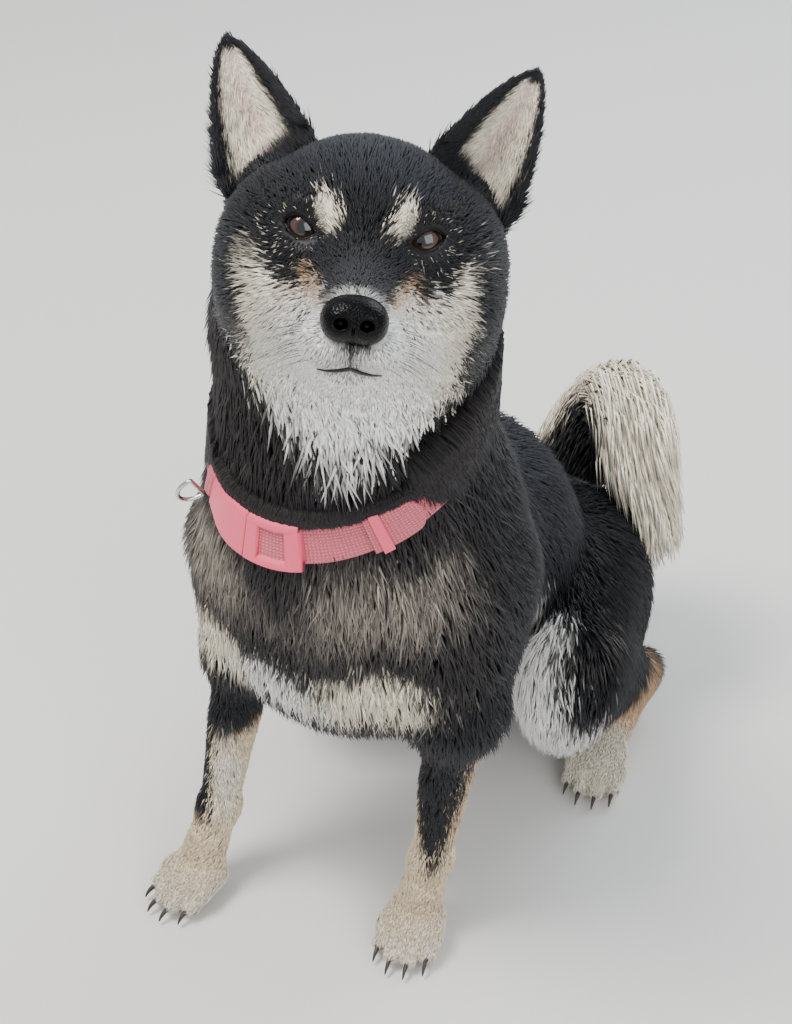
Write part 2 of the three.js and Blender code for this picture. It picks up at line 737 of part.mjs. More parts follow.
// Place, direction and the two sideways directions at a share of the tail's length, also past its end
function tailFrame(along) {
  const on = Math.min(1, Math.max(0, along));
  const ahead = tailCurve.getTangentAt(on);
  const place = tailCurve.getPointAt(on).addScaledVector(ahead, (along - on) * tailLength);
  const out = tailCurve.getPointAt(on).sub(curlCentre);
  out.addScaledVector(ahead, -out.dot(ahead)).normalize();
  return { place, ahead, out, beside: ahead.clone().cross(out) };
}
function brushRadius(angle) {
  const facing = Math.cos(angle);
  const edge = facing > 0 ? brush.outside : brush.inside;
  return brush.beside + (edge - brush.beside) * facing * facing;
}
const coreRings = Array.from({ length: 9 }, (_, i) => {
  const along = i / 8;
  const { place, out, beside } = tailFrame(along);
  const radius = Math.max(2, coreRadius * Math.sqrt(1 - along ** 6));
  return Array.from({ length: 6 }, (_, n) => {
    const angle = (n / 6) * Math.PI * 2;
    const point = place.clone().addScaledVector(out, Math.cos(angle) * radius);
    return point.addScaledVector(beside, Math.sin(angle) * radius).toArray();
  });
});
let seed = 11;
function drawn(low, high) {
  seed = (seed * 16807) % 2147483647;
  return low + ((high - low) * seed) / 2147483647;
}
function lockSolid(start, angle) {
  const reach = (lock.length / tailLength) * drawn(0.88, 1.12);
  const width = lock.halfWidth * drawn(0.88, 1.1);
  const sway = drawn(-0.16, 0.16);
  const rise = brushRadius(angle) * drawn(0.9, 1.02);
  const rings = [0, 0.4, 0.75, 1].map((t) => {
    const { place, out, beside } = tailFrame(start + reach * t);
    const turn = angle + sway * t;
    const radial = out.clone().multiplyScalar(Math.cos(turn)).addScaledVector(beside, Math.sin(turn));
    const around = beside.clone().multiplyScalar(Math.cos(turn)).addScaledVector(out, -Math.sin(turn));
    const far = coreRadius * 0.4 + (rise - coreRadius * 0.4) * Math.sin((t * Math.PI) / 2) ** lock.lift;
    const point = place.addScaledVector(radial, far);
    const taper = t < 0.6 ? 0.7 + t * 0.5 : 1 - ((t - 0.6) / 0.4) ** 1.6 * 0.9;
    const across = around.multiplyScalar(width * taper);
    const thick = radial.multiplyScalar(lock.halfThick * (t < 0.6 ? 1 : 1 - ((t - 0.6) / 0.4) * 0.8));
    const at = (side, face) => point.clone().addScaledVector(across, side).addScaledVector(thick, face);
    return [at(-1, 0), at(0, -1), at(1, 0), at(0, 1)].map((p) => p.toArray());
  });
  return solidOfRings(rings);
}
let wholeTail = solidOfRings(coreRings);
for (let row = 0; row < lock.rows; row++)
  for (let i = 0; i < lock.around; i++) {
    const start = 0.1 + (0.86 * row) / (lock.rows - 1) + drawn(-0.03, 0.03);
    const angle = ((i + (row % 2) / 2) / lock.around) * Math.PI * 2 + drawn(-0.12, 0.12);
    wholeTail = wholeTail.add(lockSolid(start, angle));
  }
wholeTail = wholeTail.subtract(bodySkin(0.5));
const tailPlane = [tailFrame(curlTop).place.toArray(), tailFrame(curlTop).ahead.toArray()];
add(dog, "tail_base", wholeTail.subtract(past(tailPlane)), blackCoat);
add(dog, "tail_tip", wholeTail.subtract(before(tailPlane)), creamCoat);

// Collar: a strap round the neck from one end of the buckle to the other, the buckle's two halves, a slide
// with the strap's end doubled over beyond it, and a ring that stands on the strap
const strapOuter = -0.9;
const strapInner = strapOuter - webbing;
const slide = { from: 32.5, to: 36.5, outer: 3 };
const doubled = { from: 36.8, to: 52 };
const strap = ringStretch(buckle.to + gap, 360 + buckle.from - gap, strapInner, strapOuter, collarWidth, 36);
add(dog, "collar_strap", strap, pinkWebbing);
const buckleHalf = (from, to) => ringStretch(from, to, strapInner, buckle.outer, buckle.width, 4);
add(dog, "collar_buckle_prong", buckleHalf(buckle.from, buckle.joint - gap / 2), pinkPlastic);
add(dog, "collar_buckle_socket", buckleHalf(buckle.joint + gap / 2, buckle.to), pinkPlastic);
const overStrap = strapOuter + 2 * gap;
const slideBar = ringStretch(slide.from, slide.to, overStrap, slide.outer, buckle.width, 2);
add(dog, "collar_slide", slideBar, pinkPlastic);
const strapEnd = ringStretch(doubled.from, doubled.to, overStrap, overStrap + webbing, collarWidth, 3);
add(dog, "collar_strap_end", strapEnd, pinkWebbing);

// The ring is a D of round wire with its straight side along the strap's width
const ring = { angle: -45, height: 17, depth: 12, wire: 1.25, sides: 6 };
const ringAngle = turned(ring.angle);
const ringHalf = ring.height / 2;
const neckUnderRing = Math.max(...[-1.2, 0, 1.2].map((rise) => neckRadius(ringAngle, rise * ringHalf)));
const ringFoot = neckUnderRing + overStrap + ring.wire + gap;
const ringLine = [
  [-1, 0],
  [-0.34, 0],
  [0.34, 0],
  [1, 0],
  ...[30, 60, 90, 120, 150].map((a) => [Math.cos(turned(a)), 0.15 + 0.85 * Math.sin(turned(a))]),
].map(([rise, away]) => v3(onCollar(ringAngle, rise * ringHalf, ringFoot + away * ring.depth)));
const ringAxis = collarNormal.clone().cross(outward(ringAngle));
const ringRings = ringLine.map((place, i) => {
  const next = ringLine[(i + 1) % ringLine.length];
  const last = ringLine[(i + ringLine.length - 1) % ringLine.length];
  const across = next.clone().sub(last).normalize().cross(ringAxis).normalize();
  return Array.from({ length: ring.sides }, (_, n) => {
    const angle = (n / ring.sides) * Math.PI * 2;
    const point = place.clone().addScaledVector(across, Math.cos(angle) * ring.wire);
    return point.addScaledVector(ringAxis, Math.sin(angle) * ring.wire).toArray();
  });
});
add(dog, "collar_ring", solidOfRings(ringRings, true), steel);

// The part stands on the floor, the middle of its footprint at the origin
dog.updateMatrixWorld(true);
const extent = new THREE.Box3().setFromObject(dog, true);
dog.position.set(-(extent.min.x + extent.max.x) / 2, -(extent.min.y + extent.max.y) / 2, 0);

export default dog;
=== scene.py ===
import math

import bpy
import numpy as np
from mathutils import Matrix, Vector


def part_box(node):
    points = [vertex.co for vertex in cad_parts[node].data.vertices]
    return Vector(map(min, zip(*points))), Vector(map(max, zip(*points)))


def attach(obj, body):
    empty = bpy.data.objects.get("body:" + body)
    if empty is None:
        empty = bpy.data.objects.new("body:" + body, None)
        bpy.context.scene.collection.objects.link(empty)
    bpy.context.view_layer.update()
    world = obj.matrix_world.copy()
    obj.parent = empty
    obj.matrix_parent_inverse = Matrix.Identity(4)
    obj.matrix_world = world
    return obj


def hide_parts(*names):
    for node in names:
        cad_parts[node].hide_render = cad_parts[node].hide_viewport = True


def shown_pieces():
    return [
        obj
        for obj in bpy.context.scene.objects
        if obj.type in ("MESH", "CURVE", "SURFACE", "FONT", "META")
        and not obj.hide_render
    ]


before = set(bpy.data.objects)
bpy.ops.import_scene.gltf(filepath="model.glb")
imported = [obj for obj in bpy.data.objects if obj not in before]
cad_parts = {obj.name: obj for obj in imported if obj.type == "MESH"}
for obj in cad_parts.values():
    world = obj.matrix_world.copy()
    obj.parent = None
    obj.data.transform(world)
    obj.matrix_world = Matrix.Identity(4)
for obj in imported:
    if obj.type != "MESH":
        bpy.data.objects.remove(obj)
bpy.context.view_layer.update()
print("frame loaded")

# Places are millimetres in the dog's own frame: chest towards -Y, its left side +X, floor at 0.
# The left eye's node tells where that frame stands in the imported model.
head = {
    "place": (43, 24, 507),
    "yaw": 29, "pitch": 25, "roll": 6.5,
    "eyePlace": (28, 3, 0),
    "eyeRadius": 9.5,
    "eyeAhead": 12,  # degrees that each eye looks outwards
}


def turnAbout(axis, degrees):
    c, s = math.cos(math.radians(degrees)), math.sin(math.radians(degrees))
    a, b = [(1, 2), (2, 0), (0, 1)][axis]
    matrix = np.eye(3)
    matrix[a, a] = matrix[b, b] = c
    matrix[b, a], matrix[a, b] = s, -s
    return matrix


headTurn = turnAbout(2, head["yaw"]) @ turnAbout(0, -head["pitch"]) @ turnAbout(1, head["roll"])
headPlace = np.array(head["place"], float)
eyeLow, eyeHigh = (np.array(corner) * 1000 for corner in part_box("eye_left"))


def fromHead(points):
    return np.asarray(points, float) @ headTurn.T + headPlace


def toHead(points):
    return (points - headPlace) @ headTurn


dogShift = (eyeLow + eyeHigh) / 2 - fromHead(head["eyePlace"])
dogShift[2] = 0


def unit(vectors):
    return vectors / np.maximum(np.linalg.norm(vectors, axis=-1, keepdims=True), 1e-9)


def blendBetween(value, low, high):  # 0 below low, 1 above high, smooth between
    t = np.clip((value - low) / (high - low), 0, 1)
    return t * t * (3 - 2 * t)


# Forms: functions of points, negative inside and about the distance to their surface

def egg(centre, size):  # distance to the centre times (1 - 1 / share), share = length of offset / size
    centre, size = np.array(centre, float), np.array(size, float)

    def form(points):
        offset = points - centre
        share = np.maximum(np.linalg.norm(offset / size, axis=1), 1e-6)
        return np.linalg.norm(offset, axis=1) * (1 - 1 / share)
    return form


def limb(start, end, sizeStart, sizeEnd):  # an egg section, across and deep, carried from start to end
    start, end = np.array(start, float), np.array(end, float)
    length = np.linalg.norm(end - start)
    along = (end - start) / length
    side = np.array([1.0, 0, 0])
    side = unit(side - along * (side @ along))
    deep = np.cross(along, side)

    def form(points):
        offset = points - start
        run = offset @ along
        share = np.clip(run / length, 0, 1)
        past = run - share * length
        across, depth = offset @ side, offset @ deep
        width = sizeStart[0] + (sizeEnd[0] - sizeStart[0]) * share
        thick = sizeStart[1] + (sizeEnd[1] - sizeStart[1]) * share
        cap = np.minimum(width, thick)
        k = np.sqrt((across / width) ** 2 + (depth / thick) ** 2 + (past / cap) ** 2)
        return np.sqrt(across ** 2 + depth ** 2 + past ** 2) * (1 - 1 / np.maximum(k, 1e-6))
    return form


def lesser(one, other, softness):  # lowered by softness / 4 where the two are alike
    share = np.maximum(0, softness - np.abs(one - other)) / softness
    return np.minimum(one, other) - share * share * softness * 0.25


def flow(pieces):
    def form(points):
        least = np.full(len(points), 1e9)
        for piece, softness in pieces:
            least = lesser(least, piece(points), softness)
        return least
    return form


def hollow(form, cutter, softness):
    return lambda points: -lesser(-form(points), cutter(points), softness)


def bothSides(place, size, softness):
    return [(egg((side * place[0], place[1], place[2]), size), softness) for side in (1, -1)]


fullHead = flow([
    (egg((0, 52, -1), (57, 60, 48)), 10),
    (egg((0, 18, 10), (42, 32, 31)), 24),
    *bothSides((34, 40, -24), (38.5, 46, 37), 22),
    (egg((0, 46, -44), (44, 52, 30)), 24),
    (limb((0, 8, -22), (0, -60, -35), (29, 24), (16, 13)), 20),
    (limb((0, 16, -54), (0, -50, -59), (27, 14), (14, 8)), 12),
    *bothSides((11, -56, -47), (14, 24, 12), 10),
    *bothSides((23, 5, 12), (16, 13, 9), 10),
    *bothSides((45, 62, 27), (20, 18, 14), 16),
])
headForm = hollow(fullHead, flow(bothSides((29, -17, -0.5), (12, 9, 7.5), 1)), 7)

trunk = {
    "chest": (-2, 104, 258), "loin": (0, 210, 208), "hip": (0, 288, 132),
    "neckBase": (1, 86, 318), "neckTop": (7, 74, 424),
}
legs = {
    "left": {"side": 1, "shoulder": (64, 96, 262), "elbow": (74, 78, 190), "wrist": (62, 68, 62),
             "paw": (58, 54, 18), "pawTurn": 8, "hip": (66, 300, 112), "knee": (100, 188, 134),
             "hock": (104, 328, 34), "foot": (108, 248, 16), "footTurn": 6},
    "right": {"side": -1, "shoulder": (-74, 96, 256), "elbow": (-71, 74, 190), "wrist": (-83, 44, 62),
              "paw": (-88, 22, 18), "pawTurn": -16, "hip": (-66, 300, 112), "knee": (-100, 188, 134),
              "hock": (-104, 328, 34), "foot": (-108, 248, 16), "footTurn": -6},
}
toes = {"spread": (-15, -5.3, 5.3, 15), "reach": (17, 24, 24, 17)}


def toeLine(centre, turn, index):
    spin = turnAbout(2, turn)
    x, reach = toes["spread"][index], toes["reach"][index]

    def place(across, ahead, z):
        spot = spin @ np.array([across, ahead, 0]) + np.array([centre[0], centre[1], 0])
        return np.array([spot[0], spot[1], z])
    return {
        "root": place(x * 0.75, -reach + 22, 17), "knuckle": place(x * 0.95, -reach + 7, 16),
        "tip": place(x * 1.06, -reach - 4, 9), "claw": place(x * 1.12, -reach - 17, 3.4),
    }


def pawForms(centre, turn):
    forms = []
    for index in range(4):
        toe = toeLine(centre, turn, index)
        forms.append((limb(toe["root"], toe["knuckle"], (8.2, 10), (8, 10)), 8))
        forms.append((limb(toe["knuckle"], toe["tip"], (7.4, 9), (6.4, 8)), 5))
    return forms


trunkPieces = [
    (egg(trunk["chest"], (95, 80, 92)), 10),
    (egg((0, 128, 325), (52, 58, 46)), 40),
    (limb(trunk["chest"], trunk["loin"], (84, 84), (74, 74)), 40),
    (limb(trunk["loin"], trunk["hip"], (74, 74), (86, 80)), 40),
    (egg((0, 310, 80), (88, 74, 84)), 40),
    (limb(trunk["neckBase"], trunk["neckTop"], (84, 74), (78, 68)), 40),
    (egg((-4, 62, 206), (62, 38, 42)), 30),
]
for leg in legs.values():
    trunkPieces += [
        (limb(leg["shoulder"], leg["elbow"], (31, 48), (28, 30)), 36),
        (limb(leg["elbow"], leg["wrist"], (20, 25), (12.5, 14.5)), 24),
        (limb(leg["wrist"], leg["paw"], (12.5, 14), (17, 14)), 12),
        (limb(leg["hip"], leg["knee"], (48, 76), (30, 48)), 36),
        (limb(leg["knee"], leg["hock"], (28, 40), (16, 20)), 24),
        (limb(leg["hock"], leg["foot"], (15, 17), (15, 13)), 14),
        *pawForms(leg["paw"], leg["pawTurn"]),
        *pawForms(leg["foot"], leg["footTurn"]),
    ]
trunkForm = flow(trunkPieces)
joins = {"headNeck": 34, "temples": 14, "tail": 16, "lids": 3}  # how softly these flow into the rest


def bodyForm(points):
    return lesser(trunkForm(points), headForm(toHead(points)), joins["headNeck"])


# The tail's middle line, in even steps, with the sideways directions of its brush
tail = {
    "route": [(5, 335, 95), (14, 368, 140), (30, 384, 188), (51, 379, 224), (69, 358, 227),
              (79, 343, 196), (84, 342, 158)],
    "curlCentre": (50, 356, 150), "core": 15,
    "outside": 40, "beside": 31, "inside": 24,
}


def curveThrough(points, count):  # Catmull-Rom: cubic between neighbours, its slopes half the span beside
    p = np.array(points, float)
    p = np.vstack([2 * p[0] - p[1], p, 2 * p[-1] - p[-2]])
    t = np.linspace(0, len(points) - 1, count * 8)
    i = np.minimum(t.astype(int), len(points) - 2)
    u = (t - i)[:, None]
    a, b, c, d = p[i], p[i + 1], p[i + 2], p[i + 3]
    bend, twist = 2 * a - 5 * b + 4 * c - d, 3 * b - a - 3 * c + d
    line = 0.5 * (2 * b + (c - a) * u + bend * u ** 2 + twist * u ** 3)
    run = np.concatenate([[0], np.cumsum(np.linalg.norm(np.diff(line, axis=0), axis=1))])
    even = np.linspace(0, run[-1], count)
    return np.stack([np.interp(even, run, line[:, k]) for k in range(3)], 1), run[-1]


tailLine, tailLength = curveThrough(tail["route"], 120)


def tailFrame(along):  # place, direction, outwards and sideways at shares of the tail's length, also past 1
    on = np.clip(along, 0, 1)
    steps = np.arange(len(tailLine)) / (len(tailLine) - 1)
    slope = unit(np.gradient(tailLine, axis=0))
    ahead = unit(np.stack([np.interp(on, steps, slope[:, k]) for k in range(3)], 1))
    place = np.stack([np.interp(on, steps, tailLine[:, k]) for k in range(3)], 1)
    out = place - np.array(tail["curlCentre"])
    out = unit(out - ahead * (out * ahead).sum(1, keepdims=True))
    return place + ahead * ((along - on) * tailLength)[:, None], ahead, out, np.cross(ahead, out)


tailCore = flow([
    (limb(tailLine[i], tailLine[j], (tail["core"],) * 2, (tail["core"],) * 2), 10)
    for i, j in zip(range(0, 108, 12), range(12, 120, 12))
])

# Eyes: each in its own frame, looking along -Y, with an almond opening between the lids
lids = {"halfLength": 8.2, "halfHeight": 5.4, "slope": 0.26, "rise": 0.1, "thick": 1.7, "clear": 0.25}


def toEye(local, side):
    spin = turnAbout(2, head["eyeAhead"] * side)
    centre = np.array(head["eyePlace"]) * (side, 1, 1)
    eye = (local - centre) @ spin
    return eye * (side, 1, 1)


def fromEye(points, side):
    spin = turnAbout(2, head["eyeAhead"] * side)
    centre = np.array(head["eyePlace"]) * (side, 1, 1)
    return fromHead((points * (side, 1, 1)) @ spin.T + centre)


def eyeDistance(local):  # from the nearer eye's middle, across the face
    folded = np.stack([np.abs(local[:, 0]), local[:, 1], local[:, 2]], 1)
    return np.linalg.norm(toEye(folded, 1)[:, [0, 2]], axis=1) + 60 * blendBetween(local[:, 1], 14, 34)


def almond(eye):  # height from the slanted middle line less the opening's half-height there
    middle = lids["slope"] * eye[:, 0] + lids["rise"]
    half = lids["halfHeight"] * (1 - (eye[:, 0] / lids["halfLength"]) ** 2)
    return np.maximum(np.abs(eye[:, 2] - middle) - half, np.abs(eye[:, 0]) - lids["halfLength"])


# Coat: how deep it lies over the skin, and the skin's own form
coat = {
    "body": 8.2, "neck": 10.5, "brow": 3.6, "muzzle": 1.8, "nape": 8.5, "crown": 4.4, "eye": 1.0,
    "leg": 3.4, "paw": 1.7, "lowest": 0.6,
    "hindFrom": 130,  # the hind legs lie behind this place, the front legs before it
    "tuftPerDepth": 2.7, "widthBase": 0.42, "widthPerLength": 0.05, "layers": 4.3, "mostPerArea": 1.15,
}


def coatDepth(points):
    x, y, z = points.T
    local = toHead(points)
    ahead, above = -local[:, 1], local[:, 2]
    frontLeg = (y < coat["hindFrom"]) * blendBetween(-z, -205, -110)
    hindLeg = (y >= coat["hindFrom"]) * (np.abs(x) > 78) * blendBetween(-z, -70, -30)
    onLeg = np.maximum(frontLeg, hindLeg)
    skull = coat["nape"] + (coat["crown"] - coat["nape"]) * blendBetween(above, -15, 15)
    for name, share in (("brow", blendBetween(ahead, -62, -4)), ("muzzle", blendBetween(ahead, 8, 34)),
                        ("eye", 1 - blendBetween(eyeDistance(local), 9, 24))):
        skull = skull + (coat[name] - skull) * share
    depth = coat["body"] + (coat["leg"] - coat["body"]) * onLeg
    depth = depth + (coat["paw"] - depth) * blendBetween(-z, -60, -28) * onLeg
    depth = depth + (coat["neck"] - depth) * blendBetween(z, 300, 360)
    return depth + (skull - depth) * blendBetween(above, -105, -62) * blendBetween(ahead, -125, -60)


templeForm = flow([
    *bothSides((42, 34, -4), (21, 26, 25), 8),
    *bothSides((44, 58, 13), (22, 13, 15), 14),
])


def skinForm(points):
    value = lesser(bodyForm(points) + coatDepth(points), templeForm(toHead(points)), joins["temples"])
    return np.maximum(lesser(value, tailCore(points), joins["tail"]), coat["lowest"] - points[:, 2])


def faceForm(points):
    value = skinForm(points)
    local = toHead(points)
    for side in (1, -1):
        eye = toEye(local, side)
        distance = np.linalg.norm(eye, axis=1) - head["eyeRadius"]
        value = lesser(value, distance - lids["thick"], joins["lids"])
        value = np.maximum(value, -np.maximum(almond(eye), eye[:, 1]))
        value = np.maximum(value, lids["clear"] - distance)
    return value


noseForm = flow([
    (egg((0, -78.5, -34.5), (12, 11, 9.5)), 4),
    *bothSides((6.5, -79.5, -36.5), (7.8, 9.4, 8.6), 5),
])
nostrils = flow([
    *bothSides((5.6, -89.5, -37.3), (3.0, 5, 2.5), 1),
    (egg((0, -90, -43), (0.9, 4, 5.5)), 1),
])
noseShape = hollow(noseForm, nostrils, 1.2)


# A net of quads round a form's zero surface: one corner to each cell that it crosses, drawn on to it
def netOf(form, low, high, cell):
    low, high = np.array(low, float), np.array(high, float)
    count = np.ceil((high - low) / cell).astype(int) + 3
    block = 4
    blocks = -(-count // block)
    middles = [low[a] + (np.arange(blocks[a]) * block + 0.5) * cell for a in range(3)]
    grid = np.stack(np.meshgrid(*middles, indexing="ij"), -1).reshape(-1, 3)
    rough = form(grid).reshape(blocks)
    for axis in range(3):
        rough = np.repeat(rough, block, axis=axis)
    value = rough[:count[0], :count[1], :count[2]].copy()
    near = np.argwhere(np.abs(value) < 6 * cell + 4)
    fine = low + (near - 1) * cell
    value[tuple(near.T)] = np.maximum(form(fine), np.maximum(low - fine, fine - high).max(1))
    edge = np.zeros(value.shape, bool)
    for axis in range(3):
        side = [slice(None)] * 3
        for end in (0, -1, -2):
            side[axis] = end
            edge[tuple(side)] = True
    value[edge] = np.maximum(value[edge], cell * 0.5)
    inside = value < 0
    offsets = np.array([[c & 1, (c >> 1) & 1, c >> 2] for c in range(8)])
    sizes = np.array(value.shape) - 1
    parts = [tuple(slice(o[k], o[k] + sizes[k]) for k in range(3)) for o in offsets]
    filled = sum(inside[part].astype(np.int8) for part in parts)
    cells = np.argwhere((filled > 0) & (filled < 8))
    number = np.full(tuple(sizes), -1)
    number[tuple(cells.T)] = np.arange(len(cells))
    corners = np.stack([value[tuple((cells + o).T)] for o in offsets], 1)
    total, crossings = np.zeros((len(cells), 3)), np.zeros(len(cells))
    for a in range(3):
        for c in range(8):
            if offsets[c][a]:
                continue
            d = c + (1 << a)
            crossed = (corners[:, c] < 0) != (corners[:, d] < 0)
            share = np.where(crossed, corners[:, c] / np.where(crossed, corners[:, c] - corners[:, d], 1), 0)
            spot = offsets[c] + np.outer(share, offsets[d] - offsets[c])
            total += spot * crossed[:, None]
            crossings += crossed
    places = low + (cells - 1 + total / crossings[:, None]) * cell
    start = places.copy()
    for _ in range(3):
        here = form(places)
        slope = np.stack([(form(places + np.eye(3)[a] * 0.2) - here) / 0.2 for a in range(3)], 1)
        places = places - (here / np.maximum((slope ** 2).sum(1), 0.3))[:, None] * slope
    drift = places - start
    far = np.maximum(np.linalg.norm(drift, axis=1) / (cell * 0.6), 1)
    places = start + drift / far[:, None]
    places = np.clip(places, low, high)
    quads = []
    for a in range(3):
        one = np.eye(3, dtype=int)[a]
        n = np.array(value.shape)
        core = tuple(slice(1, n[k] - 1) for k in range(3))
        ahead = tuple(slice(1 + one[k], n[k] - 1 + one[k]) for k in range(3))
        here = inside[core]
        spots = np.argwhere(here != inside[ahead]) + 1
        spots = spots[spots[:, a] < n[a] - 2]
        b, c = np.eye(3, dtype=int)[(a + 1) % 3], np.eye(3, dtype=int)[(a + 2) % 3]
        around = [spots - s * b - t * c for s, t in ((0, 0), (1, 0), (1, 1), (0, 1))]
        ring = np.stack([number[tuple(spot.T)] for spot in around], 1)
        back = ~inside[tuple(spots.T)]
        ring[back] = ring[back][:, ::-1]
        quads.append(ring)
    return places, np.vstack(quads)


def placeOf(points):  # the dog's millimetres to the model's metres
    return (points + dogShift) / 1000


def addPiece(name, mesh):
    mesh.polygons.foreach_set("use_smooth", np.ones(len(mesh.polygons), bool))
    mesh.update(calc_edges=True)
    piece = bpy.data.objects.new(name, mesh)
    bpy.context.scene.collection.objects.link(piece)
    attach(piece, "root")
    return piece


def meshPiece(name, points, faces):
    mesh = bpy.data.meshes.new(name)
    mesh.vertices.add(len(points))
    mesh.vertices.foreach_set("co", placeOf(points).astype(np.float32).ravel())
    mesh.loops.add(faces.size)
    mesh.loops.foreach_set("vertex_index", faces.astype(np.int32).ravel())
    mesh.polygons.add(len(faces))
    mesh.polygons.foreach_set("loop_start", np.arange(0, faces.size, faces.shape[1], dtype=np.int32))
    return addPiece(name, mesh)


def sweepPiece(name, rings, looped=False):  # rings: steps x sides x 3, with closed ends or looped
    steps, sides = rings.shape[:2]
    points = rings.reshape(-1, 3)
    s, t = np.arange(sides), (np.arange(sides) + 1) % sides
    a = np.arange(steps if looped else steps - 1)[:, None] * sides
    b = (a + sides) % len(points)
    polygons = np.stack([a + s, a + t, b + t, b + s], -1).reshape(-1, 4).tolist()
    if not looped:
        first, base = len(points), len(points) - sides
        polygons += np.stack([t, s, np.full(sides, first)], 1).tolist()
        polygons += np.stack([base + s, base + t, np.full(sides, first + 1)], 1).tolist()
        points = np.vstack([points, rings[[0, -1]].mean(1)])
    p = points[np.array([polygon[:3] for polygon in polygons])] - points.mean(0)
    if (p[:, 0] * np.cross(p[:, 1], p[:, 2])).sum() < 0:  # inside out
        polygons = [polygon[::-1] for polygon in polygons]
    mesh = bpy.data.meshes.new(name)
    mesh.from_pydata(placeOf(points).tolist(), [], polygons)
    return addPiece(name, mesh)


def tubeOf(line, first, second, size, sides):  # rings round a line, in the plane of two directions
    turn = np.linspace(0, 2 * math.pi, sides, endpoint=False)[None, :, None]
    first, second = (np.broadcast_to(way, line.shape)[:, None] for way in (first, second))
    size = np.broadcast_to(size, len(line))[:, None, None]
    return line[:, None] + size * (np.cos(turn) * first + np.sin(turn) * second)


def repeated(faces, count):  # one tuft's faces for every tuft, each with its own corners
    return (np.arange(count)[:, None, None] * (faces.max() + 1) + faces).reshape(-1, 3)


def keepColours(piece, colours):
    layer = piece.data.attributes.new("coat", "FLOAT_COLOR", "POINT")
    whole = np.ones((len(colours), 4), np.float32)
    whole[:, :3] = np.clip(colours, 0, 1)
    layer.data.foreach_set("color", whole.ravel())


# Markings: soft patches laid over one another, by place on the head or body
def tone(red, green, blue):
    value = np.array([red, green, blue]) / 255
    return np.where(value <= 0.04045, value / 12.92, ((value + 0.055) / 1.055) ** 2.4)


# the bluish tone over the black coat is a painted sheen
tones = {
    "black": tone(15, 14, 16), "paintedSheen": tone(27, 29, 36), "brown": tone(31, 24, 23),
    "tan": tone(208, 172, 134), "cream": tone(240, 229, 208), "white": tone(250, 248, 243),
    "grey": tone(128, 121, 116), "bridge": tone(56, 54, 56), "earSkin": tone(206, 170, 166),
    "lip": tone(120, 108, 116), "ash": tone(176, 165, 152), "sand": tone(234, 212, 180),
}


def waver(points, size, seed):  # a smooth wandering value of about -1 to 1: three crossed sine waves
    turn = np.random.default_rng(seed).normal(size=(3, 3))
    waves = np.sin(points @ unit(turn).T / size * 2 * math.pi + turn[0] * 9)
    return waves.sum(1) / 2


def paint(colours, tint, share):  # tint: the name of a tone, or a colour for each place
    colour = tones[tint] if isinstance(tint, str) else tint
    return colours + (colour - colours) * np.clip(share, 0, 1)[:, None]


def painted(layers):  # black, with each layer's tint over it by its share
    colours = np.tile(tones["black"], (len(layers[0][1]), 1))
    for tint, share in layers:
        colours = paint(colours, tint, share)
    return colours


def patch(points, centre, size, soft=0.3):
    reach = np.linalg.norm((points - np.array(centre)) / np.array(size), axis=1)
    return 1 - blendBetween(reach, 1 - soft, 1 + soft)


faceEdge = {  # the pale face's half-width by depth under the eyes, and its upper edge by width
    "under": [-10, 0, 22, 50, 70, 88, 105, 122, 132], "halfWidth": [54, 55, 53, 52, 49, 40, 27, 9, -6],
    "beside": [0, 7, 11, 19, 30, 40, 47, 54, 60], "top": [-52, -46, -33, -24, -27, -25, -13, -2, -8],
}


def headMarkings(local, wander):
    x, y, z = np.abs(local[:, 0]), local[:, 1], local[:, 2]
    halfWidth = np.interp(-z, faceEdge["under"], faceEdge["halfWidth"])
    top = np.interp(x, faceEdge["beside"], faceEdge["top"])
    pale = blendBetween(top - z + wander * 2.5, -3, 4) * blendBetween(halfWidth - x + wander * 3, -4, 5)
    pale = pale * blendBetween(-y, -74, -52)
    flat, strip, slanted = (
        np.stack([across, y * 0.25, z], 1) for across in (x, x - 0.55 * (z + 27), x - 0.25 * (z - 8)))
    colours = painted([
        # painted sheen: bluish tone over the top of the head
        ("paintedSheen", blendBetween(z + 0.2 * y, 6, 40) * 0.7),
        ("brown", blendBetween(-z, 30, 90) * blendBetween(y, 30, 70) * 0.7),
        (tones["white"] + (tones["cream"] - tones["white"]) * blendBetween(x, 26, 50)[:, None], pale),
        ("tan", patch(strip, (19, -6, -26), (4, 14, 9), 0.5) * 0.65),
        ("tan", patch(flat, (31, -2, -31), (9, 14, 5), 0.7) * 0.35),
        ("bridge", patch(flat, (0, -12, -22), (11, 16, 20), 0.5) * 0.5),
        ("white", patch(flat, (0, -18, -27), (16, 4, 4.5), 0.5) * 0.45),
        # painted shade: a grey-purple band along the mouth line
        ("lip", patch(flat, (0, -14, -56), (17, 20, 5), 0.6) * 0.45),
        ("cream", patch(slanted, (17, -2, 8), (5.6, 10, 9)) * 0.95),  # the pips over the eyes
    ])
    for side in (1, -1):
        eye = toEye(local, side)
        ring = np.linalg.norm((eye[:, [0, 2]] - (0.5, -0.5)) / (10.5, 7.6), axis=1)
        colours = paint(colours, "black", (1 - blendBetween(ring, 0.8, 1.05)) * (eye[:, 1] < 2))
    return colours


